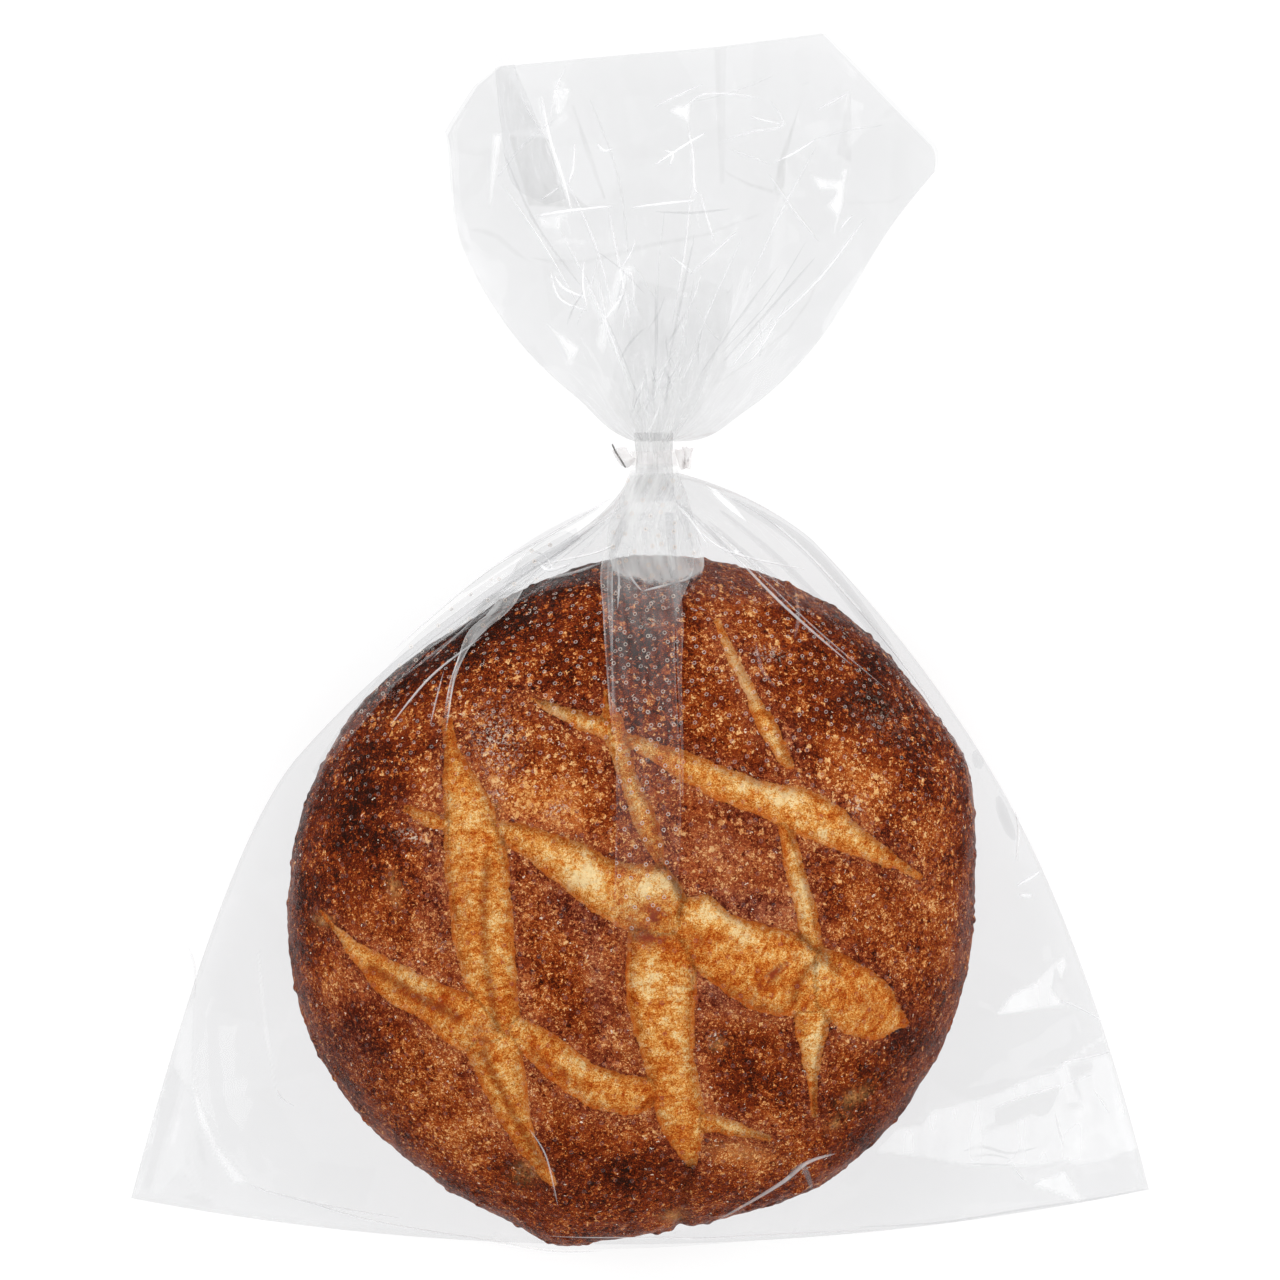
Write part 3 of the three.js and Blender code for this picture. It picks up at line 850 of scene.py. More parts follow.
rough = plus(tree, times(tree, plus(tree, medium, opened), 0.2), 0.2)
height = plus(tree, fine, times(tree, grain, 0.3))
height = minus(tree, height, times(tree, pebble, 0.8))
height = plus(tree, height, times(tree, times(tree, fibres, opened), 0.8))
relief = add(tree, "ShaderNodeBump", {"Strength": 1.0, "Distance": 0.0009, "Height": height}).outputs[0]
skin = add(
    tree,
    "ShaderNodeBsdfPrincipled",
    {"Base Color": colour, "Roughness": rough, "Normal": relief, "Specular IOR Level": 0.02},
)
add(tree, "ShaderNodeOutputMaterial", {"Surface": skin.outputs[0]})

make_piece("loaf", crust_points, faces, layers, crust, "bag_with_loaf")

# ---------------------------------------------------------------- the film
# Clear polypropylene film, 0.03 mm thick, pricked all over with vent holes. It is glossy, takes a
# crinkle that doesn't come out, and looks milky wherever it is folded or gathered.

FILM_IOR = 1.37
HOLE_STEP = 5.6
HOLE_RADIUS = 0.55
# The pale ring round each hole is painted highlight: how strongly it shows, and further down its colour.
RING_HIGHLIGHT_SHARE = 0.42
SHINE_SHARE = 0.32
MOST_SHINE = 0.16
FILM_TINT = (0.931, 0.932, 0.935, 1)
CLINGING_TINT = (0.99, 0.99, 0.99, 1)
DENSE_TINT = (0.5, 0.5, 0.49, 1)
RING_HIGHLIGHT_COLOUR = (0.74, 0.64, 0.56, 1)
MILK_COLOUR = (0.73, 0.73, 0.72, 1)

film, tree = new_material("clear film")
place = millimetres(tree)
# One hole to each cell, in no strict row; its pricked rim stands up, and the pale ring round it is
# painted highlight.
holes = {"Vector": layer(tree, "flat_place", "Vector"), "Scale": 1 / HOLE_STEP, "Randomness": 0.75}
off_hole = add(tree, "ShaderNodeTexVoronoi", holes, voronoi_dimensions="2D").outputs["Distance"]
off_hole = times(tree, off_hole, HOLE_STEP)
off_ring = math(tree, "ABSOLUTE", minus(tree, off_hole, HOLE_RADIUS))
ring_highlight = times(tree, band(tree, off_ring, 0.26, 0.08), layer(tree, "vented"))
hole_mask = times(tree, band(tree, off_hole, 0.4, 0.2), layer(tree, "vented"))


def facets(scale):
    """Height of crumpled film, flat between its creases: each cell of a random pattern is a
    facet, which slopes from the cell's middle in a direction of its own."""
    inputs = {"Vector": place, "Scale": scale, "Randomness": 1.0}
    cells = add(tree, "ShaderNodeTexVoronoi", inputs, voronoi_dimensions="2D")
    from_middle = shifted(tree, "SUBTRACT", place, cells.outputs["Position"])
    slope = shifted(tree, "SUBTRACT", cells.outputs["Color"], (0.5, 0.5, 0.5))
    inputs = {0: from_middle, 1: slope}
    return add(tree, "ShaderNodeVectorMath", inputs, operation="DOT_PRODUCT").outputs["Value"]


cling = layer(tree, "cling")
haze = layer(tree, "haze")
fine_crinkle = noise(tree, place, 0.9, 2.0, 0.5)
large_facets = times(tree, facets(0.045), 0.3)
small_facets = times(tree, facets(0.15), 0.16)
crumple = plus(tree, large_facets, small_facets)
crumple = times(tree, crumple, minus(tree, 1.0, times(tree, cling, 0.7)))
crinkle = times(tree, times(tree, fine_crinkle, cling), 0.5)
height = plus(tree, crumple, crinkle)
bump = add(tree, "ShaderNodeBump", {"Strength": 0.6, "Distance": 0.001, "Height": height}).outputs[0]
fresnel = add(tree, "ShaderNodeFresnel", {"IOR": FILM_IOR, "Normal": bump}).outputs[0]
shine = times(tree, fresnel, minus(tree, 1.0, times(tree, cling, 0.93)))
shine = math(tree, "MINIMUM", times(tree, shine, SHINE_SHARE), MOST_SHINE)
tint = blend(tree, cling, FILM_TINT, CLINGING_TINT)
dense = math(tree, "MAXIMUM", layer(tree, "dense"), times(tree, hole_mask, 0.5))
tint = blend(tree, dense, tint, DENSE_TINT)
clear = add(tree, "ShaderNodeBsdfTransparent", {"Color": tint}).outputs[0]
blur = plus(tree, times(tree, cling, 0.3), 0.04)
mirror = {"Color": (1, 1, 1, 1), "Roughness": blur, "Normal": bump}
gloss = add(tree, "ShaderNodeBsdfGlossy", mirror).outputs[0]
sheet = add(tree, "ShaderNodeMixShader", {0: shine, 1: clear, 2: gloss}).outputs[0]
# Painted highlights: the gleam and the rings round the holes are white diffuse film, mixed with the
# film's real milkiness.
gleam = layer(tree, "gleam")
white = blend(tree, band(tree, gleam, 0.0, 0.1), MILK_COLOUR, (1, 1, 1, 1))
white = blend(tree, ring_highlight, white, RING_HIGHLIGHT_COLOUR)
milk = add(tree, "ShaderNodeBsdfDiffuse", {"Color": white}).outputs[0]
milk_and_highlights = math(tree, "MAXIMUM", haze, gleam)
milk_and_highlights = math(tree, "MAXIMUM", milk_and_highlights, times(tree, ring_highlight, RING_HIGHLIGHT_SHARE))
surface = add(tree, "ShaderNodeMixShader", {0: milk_and_highlights, 1: sheet, 2: milk}).outputs[0]
add(tree, "ShaderNodeOutputMaterial", {"Surface": surface})


def film_piece(name, points, faces, layers):
    """A piece of the bag. Its layers may be haze, how milky it is; gleam, how white; dense, how
    far it darkens; cling, how closely it lies on the crust; and vented, how well holes show."""
    make_piece(name, points, faces.tolist(), layers, film, "bag_with_loaf")


# ---------------------------------------------------------------- the bag's body
# A flat tube of film with a sealed hem, laid over and under the loaf. The upper layer clings to
# the crust and falls in a slack tent to the edges; both draw together into the neck.

NECK_X = 7.3
NECK_Z = 27.0
NECK_RADIUS = 7.2
HEM_HEIGHT = 0.8
FLAT_HEIGHT = 0.3
CLEARANCE = 1.5
SLACK = 0.16
SHOULDER_SLACK = 0.05
# How steeply the crust's line falls beyond the rim, and over what height it is blended into the
# line to the edge.
RIM_FALL = 3
BLEND_HEIGHT = 3
# Between which lengths up the bag its edge lifts, and its film is drawn in; and how far beside the
# neck the drawing in starts and is done.
LIFT_START = -70
LIFT_FINISH = 148
GATHER_START = 118
GATHER_FINISH = 149
GATHER_REACH = 60
GATHER_WIDTH = 12
FRONT_ACROSS = 400
FRONT_ALONG = 245
BACK_ACROSS = 150
BACK_ALONG = 130
# Mean width and length of the body, by which places near its edges are told.
MEAN_WIDTH = 300
MEAN_LENGTH = 260
EDGE_STEPS = 80
NECK_FOOT = 150
# Rays of gathers that fan out from the neck: how many lie across the bag, broad and narrow.
BROAD_RAYS = 9
NARROW_RAYS = 23
# The side edges in plan, as quadratic curves: each curve's start, bend and end.
LEFT_EDGE = (
    ((-177, -105), (-143, 23), (-117, 51.5)),
    ((-117, 51.5), (-83, 90), (-30, 123)),
    ((-30, 123), (-9, 134), (-1, 149)),
)
RIGHT_EDGE = (
    ((181.5, -102), (160, -15), (129, 39.5)),
    ((129, 39.5), (102, 86), (62, 127)),
    ((62, 127), (42, 143), (15.5, 150)),
)
HEM_BEND = (0.0, -139.0)


def edge_line(arcs):
    """Points along quadratic curves that follow one another, with the same number on each."""
    t = np.linspace(0, 1, EDGE_STEPS, endpoint=False)[:, None]
    parts = []
    for start, bend, end in arcs:
        start, bend, end = np.array(start), np.array(bend), np.array(end)
        parts.append(start * (1 - t) ** 2 + bend * 2 * t * (1 - t) + end * t * t)
    parts.append(np.array([arcs[-1][-1]], float))
    return np.concatenate(parts)


def walked(line, share):
    """Points at those shares of a line's length."""
    length = np.cumsum(np.hypot(*np.diff(line, axis=0, prepend=line[:1]).T))
    return np.stack([np.interp(share * length[-1], length, line[:, i]) for i in range(2)], axis=-1)


left_line = edge_line(LEFT_EDGE)
right_line = edge_line(RIGHT_EDGE)
hem_line = edge_line((((-177, -105), HEM_BEND, (181.5, -102)),))
outline = np.concatenate([hem_line, right_line[1:], left_line[::-1]])


def reach_of(line, turns):
    """How far out a line of straight stretches is from the origin in each direction: the farthest
    place where the ray meets a stretch, by cross products."""
    ray = np.stack([np.cos(np.radians(turns)), np.sin(np.radians(turns))], axis=-1)[:, None]
    start, side = line[:-1], np.diff(line, axis=0)
    bottom = ray[..., 0] * side[:, 1] - ray[..., 1] * side[:, 0]
    bottom = np.where(np.abs(bottom) < 1e-9, 1e-9, bottom)
    away = (start[:, 0] * side[:, 1] - start[:, 1] * side[:, 0]) / bottom
    along = (start[:, 0] * ray[..., 1] - start[:, 1] * ray[..., 0]) / bottom
    met = (along >= -1e-6) & (along <= 1 + 1e-6)
    return np.where(met, away, 0).max(axis=1)


def edge_height(y):
    """The bag's edge lies near the ground along the hem and lifts towards the neck."""
    return mix(HEM_HEIGHT, NECK_Z, ease(y, LIFT_START, LIFT_FINISH))


# In each direction, the film leaves the crust where the line to it from the edge is steepest.
TURNS = np.arange(0, 361, 0.5)
edge_reach = reach_of(outline, TURNS)
edge_lift = edge_height(edge_reach * np.sin(np.radians(TURNS)))
tries = np.linspace(0.5, 1, 500)[:, None]
crown = mix(WAIST_HEIGHT, LOAF_HEIGHT, dome(tries)) + CLEARANCE
steepness = np.arctan2(crown - edge_lift, edge_reach - tries * loaf_radius(TURNS))
leaving = tries[steepness.argmax(axis=0), 0]


def film_height(x, y):
    """Height of the upper film: a little over the crust's dome as far as the place where film
    pulled from the bag's edge would leave it, then a line to the edge that sags as a parabola.
    The two are joined by a smooth maximum, in which the dome falls away beyond the loaf's rim."""
    radius = np.hypot(x, y)
    turned = np.degrees(np.arctan2(y, x)) % 360
    loaf = loaf_radius(turned)
    edge = np.interp(turned, TURNS, edge_reach)
    lift = np.interp(turned, TURNS, edge_lift)
    leaves = np.interp(turned, TURNS, leaving)
    over = WAIST_HEIGHT + (LOAF_HEIGHT - WAIST_HEIGHT + heave(x, y)) * dome(radius / loaf) + CLEARANCE
    over = over - RIM_FALL * np.clip(radius - loaf - CLEARANCE, 0, None)
    shoulder = mix(WAIST_HEIGHT, LOAF_HEIGHT, dome(leaves)) + CLEARANCE
    share = np.clip((radius - leaves * loaf) / (edge - leaves * loaf), 0, 1)
    span = edge - leaves * loaf
    slack = mix(SLACK, SHOULDER_SLACK, ease(y, -10, 90))
    line = mix(shoulder, lift, share) - 4 * slack * span * share * (1 - share)
    near = np.clip(1 - np.abs(over - line) / BLEND_HEIGHT, 0, 1)
    met = np.maximum(over, line) + BLEND_HEIGHT / 4 * near**2
    return np.where(share > 0, met, over), share


def gathered(x, y, side, face):
    """Draws the film's height in towards the round of the neck as it nears the tie: share of the
    way, times the half circle over or under the neck's axis."""
    drawn = ease(y, GATHER_START, GATHER_FINISH)
    drawn = drawn * ease(np.abs(x - NECK_X), GATHER_REACH, GATHER_WIDTH)
    return drawn, NECK_Z + face * NECK_RADIUS * np.sqrt(np.clip(1 - side**2, 0, 1))


def bag_plan(across, along):
    """Plan of the bag: the two side edges joined by straight lines, plus what the hem sags from
    its own chord, fading towards the neck."""
    left = walked(left_line, along[:, 0])[:, None]
    right = walked(right_line, along[:, 0])[:, None]
    hem = walked(hem_line, across[0])[None]
    chord = mix(hem[:, :1], hem[:, -1:], across[..., None])
    return mix(left, right, across[..., None]) + (hem - chord) * ((1 - along) ** 2)[..., None]


def inside_edges(across, along):
    """About how far each point of the body is from its nearest side edge or the hem."""
    return np.minimum(np.minimum(across, 1 - across) * MEAN_WIDTH, along * MEAN_LENGTH)


# Creases in the film, in plan: places along each, its height and its width.
SKIRT_CREASES = (
    (((-152, -22), (-154, -66), (-136, -98)), 5.0, 16.0),
    (((-166, -100), (-158, -62), (-151, -28)), 3.0, 9.0),
    (((-141, -96), (-148, -70), (-150, -40)), 1.2, 3.0),
    (((-116, 18), (-122, -30), (-120, -52), (-108, -62)), 1.6, 5.0),
    (((-128, -112), (-70, -122), (0, -125), (50, -122)), 1.6, 6.0),
    (((166, -45), (151, -56), (126, -63), (110, -68), (86, -77)), 6.0, 18.0),
    (((166, -54), (144, -59), (125, -68)), 1.6, 3.0),
    (((155, -17), (137, -27), (126, -38)), 4.0, 12.0),
    (((126, -38), (148, -36), (158, -34), (164, -45)), 3.0, 8.0),
    (((148, -58), (155, -77)), 1.6, 3.0),
    (((159, -54), (164, -72)), 1.4, 3.0),
    (((107, -86), (123, -84), (135, -86)), 1.4, 3.0),
    (((103, -93), (134, -92), (158, -90), (173, -86)), 4.0, 10.0),
    (((139, -100), (153, -93), (159, -107), (139, -100)), 1.8, 4.0),
    (((150, 0), (156, -30), (168, -60)), 1.6, 5.0),
)
# Facets of the skirts with painted highlight, as their corners and how white they look where they face
# the light, or how far white is taken back in the islands between them.
SKIRT_HIGHLIGHTS = (
    ([(125, -39.5), (132, -31.5), (139.5, -28.5), (146.5, -22), (154.5, -16.5), (151.5, -20),
      (152.5, -22.5), (150, -28.5), (148, -23.5), (147, -31), (150, -35), (153.5, -37),
      (139.5, -38)], 0.28),
    ([(83, -86.5), (91.5, -77.5), (100, -76.5), (103.5, -72), (127.5, -66), (136, -62), (146.5, -59),
      (158.5, -51), (165.5, -47.5), (166.5, -49), (153.5, -55.5), (167.5, -53.5), (173, -71.5),
      (178, -88), (170.5, -90), (165.5, -92), (156, -93.5), (151.5, -91.5), (146.5, -93), (132, -93.5),
      (118, -93), (100, -89)], 0.22),
    ([(119, -81.5), (126, -76.5), (125.5, -72.5), (132, -69), (150, -64.5), (149, -69), (146.5, -74),
      (143, -76.5), (139.5, -75), (132, -78.5)], -0.2),
    ([(151.5, -57), (161, -55.5), (162.5, -59.5), (156, -62), (158.5, -74), (151.5, -73), (152, -70.5),
      (156, -70.5), (153, -62)], -0.2),
    ([(139, -101), (143, -97.5), (151.5, -94.5), (156, -101.5), (159.5, -108), (144, -101.5)], 0.35),
    ([(168.5, -104), (181, -99.5), (181, -101), (170.5, -105)], 0.25),
    ([(-154.5, -57), (-153, -67), (-149, -77.5), (-145.5, -86), (-135.5, -97.5), (-135, -99.5),
      (-140.5, -99.5), (-147, -88.5), (-153, -76.5), (-154.5, -68)], 0.3),
    ([(-159, -39.5), (-154.5, -34.5), (-154.5, -67), (-158, -64.5), (-163, -58.5)], 0.1),
    ([(-158, -65), (-154.5, -68), (-153, -76.5), (-154.5, -89.5), (-148.5, -107), (-152, -105),
      (-159, -95.5), (-166.5, -104), (-170, -103), (-163.5, -81)], 0.09),
    ([(-132, -16.5), (-130.5, -16.5), (-127.5, -41.5), (-124.5, -65.5), (-125.5, -66),
      (-129.5, -45)], 0.12),
    ([(-176.5, -104), (-173, -93), (-172, -95.5), (-174, -105)], 0.15),
    ([(24.5, 146), (29, 144.5), (36, 138), (41.5, 131), (33.5, 136.5), (28.5, 141)], 0.5),
    ([(31.5, 120), (34.5, 123), (38.5, 124), (36, 120.5)], 0.45),
)
# Facets that look darker, and by how much.
SHADED = (
    ([(-163, -57), (-158.5, -59.5), (-159, -67), (-163.5, -81), (-170, -103), (-173, -101.5),
      (-168, -76.5)], 0.08),
    ([(-158, -82.5), (-157, -83.5), (-155, -94.5), (-149, -106), (-153, -101.5), (-157.5, -93)], 0.08),
    ([(-154.5, -76.5), (-150, -86), (-149, -95.5), (-153, -90.5)], 0.08),
    ([(-159, -104), (-154, -102.5), (-147, -106), (-147.5, -109), (-155, -107.5)], 0.08),
)


def panelled(x, y, panels, soft=1.0):
    """Sum of the facets' strengths: each is reached that many millimetres inside its sides."""
    return sum(strength * ease(-past_edge(x, y, corners), 0, soft) for corners, strength in panels)


def creased(x, y, creases):
    """Sum of the creases: each stands up like a tent, its height times e^(-distance / width)."""
    return sum(rise * np.exp(-line_distance(x, y, places) / wide) for places, rise, wide in creases)


across = np.linspace(0, 1, FRONT_ACROSS)[None, :]
along = np.linspace(0, 1, FRONT_ALONG)[:, None]
plan = bag_plan(across, along)
x, y = plan[..., 0], plan[..., 1]
side = 2 * across - 1
height, off_crust = film_height(x, y)
spot = flat(x, y)
# Where the film hangs free it also has slow waves, broad facets and the creases. The rays are two
# uneven waves across it, strongest near the neck and nothing at its foot.
free = ease(off_crust, 0.0, 0.35) * ease(np.minimum(across, 1 - across), 0, 0.03) * ease(along, 0, 0.03)
to_neck = np.clip(NECK_FOOT - y, 0, None)
neck_pull = np.exp(-to_neck / 45) * (1 - np.exp(-to_neck / 6))
rays = np.sin(2 * np.pi * BROAD_RAYS * across + 3 * np.sin(7 * across))
rays = rays + 0.6 * np.sin(2 * np.pi * NARROW_RAYS * across + 1)
patches, _ = blisters(spot, 44.0, 21)
loose = swell(spot, 34.0, 22) + 2.6 * (patches - 0.5) + creased(x, y, SKIRT_CREASES)
height = height + free * loose * ease(y, 90, 20) + 0.7 * rays * neck_pull * ease(off_crust, -0.2, 0.2)
drawn, rope = gathered(x, y, side, 1)
height = mix(height, rope + 0.5 * rays * (1 - side**2), drawn)
front = np.stack([x, y, height], axis=-1)


def flat_place(points, row, column):
    """Where each point of a film grid lies on the flat film: lengths along its columns and its
    rows, counted from one row and one column."""
    up = np.linalg.norm(np.diff(points, axis=0, prepend=points[:1]), axis=-1).cumsum(axis=0)
    over = np.linalg.norm(np.diff(points, axis=1, prepend=points[:, :1]), axis=-1).cumsum(axis=1)
    up, over = up - up[row : row + 1], over - over[:, column : column + 1]
    return np.stack([over, up, 0 * up], axis=-1)


middle_row = int(np.abs(y[:, FRONT_ACROSS // 2]).argmin())
streaked = 1 + 0.25 * swell(flat(x, y / 3), 4.0, 24)
_, facet_shade = blisters(spot, 38.0, 25)
edge_haze = 0.06 * ease(inside_edges(across, along), 1.2, 0.4)
front_layers = {
    "haze": 0.001 + edge_haze + 0.12 * drawn + 0.03 * neck_pull * ease(off_crust, 0.0, 0.15),
    # Painted highlight on the skirts' facets.
    "gleam": np.clip(panelled(x, y, SKIRT_HIGHLIGHTS), 0, 1) * streaked,
    "dense": panelled(x, y, SHADED) + 0.035 * facet_shade * free,
    "cling": ease(off_crust, 0.25, 0.0),
    "vented": ease(off_crust, 0.3, 0.1) * mix(0.16, 0.8, ease(y, 20, 90)),
    "flat_place": flat_place(front, middle_row, FRONT_ACROSS // 2),
}
film_piece("bag_front", front, grid_faces(FRONT_ALONG, FRONT_ACROSS), front_layers)

# The under layer runs from the same edges in beneath the loaf, and lies flat under its base.
across = np.linspace(0, 1, BACK_ACROSS)[None, :]
along = np.linspace(0, 1, BACK_ALONG)[:, None]
plan = bag_plan(across, along)
x, y = plan[..., 0], plan[..., 1]
turned = np.degrees(np.arctan2(y, x)) % 360
base = BASE_SHARE * loaf_radius(turned)
edge = np.interp(turned, TURNS, edge_reach)
share = np.clip((np.hypot(x, y) - base) / (edge - base), 0, 1)
height = mix(FLAT_HEIGHT, np.interp(turned, TURNS, edge_lift), share)
inset = inside_edges(across, along)
height += 0.8 * ease(share, 0, 0.3) * ease(inset, 0, 14) * (1 + swell(flat(x, y), 26.0, 23))
drawn, rope = gathered(x, y, 2 * across - 1, -1)
height = mix(height, rope, drawn)
back = np.stack([x, y, height], axis=-1)
back_layers = {
    "haze": 0.01 + 0.1 * ease(inset, 1.2, 0.4) + 0.1 * drawn,
    "flat_place": flat(x, y),
}
film_piece("bag_back", back, grid_faces(BACK_ALONG, BACK_ACROSS)[:, ::-1], back_layers)

# ---------------------------------------------------------------- pleats over the loaf
# Where the bag was gathered its film doubled over on itself. The folds run down from the neck
# over the crust: a broad one in the middle, and narrow ones over the shoulders.

# Each pleat: places along its left and right edges, how far it stands off, its milkiness at the
# neck, half way and at its far end, and that of its rolled edges.
PLEATS = {
    "pleat_gather": (
        ((-0.5, 152), (-5, 141), (-9, 130), (-8, 119), (-5, 110.5)),
        ((15, 152), (19, 141), (22, 130), (24.5, 119), (22.5, 110)),
        1.2,
        (0.4, 0.34, 0.37),
        0.08,
    ),
    "pleat_middle": (
        ((-4, 136), (-9, 118), (-8, 90), (-6, 53), (-6.4, 9.5), (-8, -18)),
        ((18, 136), (21, 118), (15, 100), (14.5, 80), (16, 50), (16, 21), (13, -20)),
        0.7,
        (0.2, 0.05, 0.012),
        0.1,
    ),
    "pleat_middle_left": (
        ((-3, 136), (-11, 119), (-10.5, 100), (-8.4, 70), (-6.2, 50)),
        ((-0.5, 136), (-6.5, 119), (-7, 100), (-6.8, 70), (-5.8, 50)),
        1.2,
        (0.3, 0.08, 0.01),
        0.2,
    ),
    "pleat_middle_right": (
        ((11, 136), (12, 118), (14.4, 98), (15, 79), (16.4, 50), (16.6, 22)),
        ((14, 136), (15.4, 118), (17.2, 98), (16.6, 79), (17.2, 50), (17.0, 22)),
        1.2,
        (0.2, 0.05, 0.01),
        0.1,
    ),
    "pleat_left_shoulder": (
        ((-24, 130), (-38, 122), (-49, 103), (-57, 95), (-60.5, 86), (-64.5, 71), (-67.5, 39)),
        ((-18, 127), (-33, 117), (-42, 103), (-51, 95), (-58, 86.5), (-62.6, 72), (-65.4, 40)),
        1.2,
        (0.06, 0.3, 0.02),
        0.4,
    ),
    "pleat_left_rim": (
        ((-71, 89), (-55, 101), (-38, 112), (-21, 115.5), (-5, 121)),
        ((-71, 88), (-55, 99.6), (-38, 110.4), (-21, 114.4), (-5, 120)),
        0.8,
        (0.04, 0.1, 0.05),
        0.3,
    ),
    "pleat_left_outer": (
        ((-20, 131), (-50, 113), (-78, 91), (-100, 64), (-112, 46)),
        ((-19, 127), (-46, 108), (-73, 86), (-96, 60), (-109, 43)),
        1.6,
        (0.03, 0.06, 0.02),
        0.08,
    ),
}
PLEAT_ALONG = 240
PLEAT_ACROSS = 61
PLEAT_GATHERS = ((1.0, 1.6, 31), (0.6, 0.7, 32))


def pleat_shape(left, right, stand):
    """A strip between two edges, its columns closer towards them. Its height is the film's, plus
    a low arch across it, a small roll along each edge and fine gathers that fade downwards."""
    left, right = smooth_line(left, PLEAT_ALONG), smooth_line(right, PLEAT_ALONG)
    across = (1 - np.cos(np.linspace(0, np.pi, PLEAT_ACROSS)))[None, :] / 2
    plan = mix(left[:, None], right[:, None], across[..., None])
    x, y = plan[..., 0], plan[..., 1]
    wide = np.hypot(*(right - left).T)[:, None]
    height, off_crust = film_height(x, y)
    drawn, rope = gathered(x, y, np.clip((x - NECK_X) / GATHER_WIDTH, -1, 1), 1)
    height = mix(height, rope, drawn)
    arch = np.sqrt(4 * across * (1 - across))
    inset = np.minimum(across, 1 - across) * wide
    roll = 0.3 * np.exp(-(((inset - 0.5) / 0.35) ** 2))
    spot = np.stack([across * wide, y / 7, 0 * x], axis=-1)
    gathers = swells(spot, PLEAT_GATHERS)
    wave = 0.3 * swell(flat(x, y), 9.0, 33) + 0.5 * gathers * ease(y, 112, 145)
    strip = np.stack([x, y, height + 0.5 + stand * (0.5 * arch + roll + wave * arch)], axis=-1)
    return strip, inset, gathers, off_crust


for name, (left, right, stand, milk, edge_milk) in PLEATS.items():
    strip, inset, gathers, off_crust = pleat_shape(left, right, stand)
    down = np.linspace(0, 1, PLEAT_ALONG)[:, None]
    broken = 0.6 + 0.8 * swell(strip, 7.0, 34)
    torn = down + 0.03 * gathers + 0.12 * np.exp(-inset / 5)
    fade = ease(torn, 1.0, 0.92) * ease(down, 0.0, 0.12)
    body = through(milk, down) * (1 + 0.45 * gathers * ease(down, 1.2, 0.6))
    layers = {
        "haze": np.clip(body + edge_milk * broken * ease(inset, 0.9, 0.15), 0, 0.9) * fade,
        "cling": ease(off_crust, 0.25, 0.0) * 0.8,
        "vented": fade + 0 * off_crust,
        "flat_place": strip + np.array([3.1, 2.2, 0]),
    }
    film_piece(name, strip, grid_faces(PLEAT_ALONG, PLEAT_ACROSS)[:, ::-1], layers)

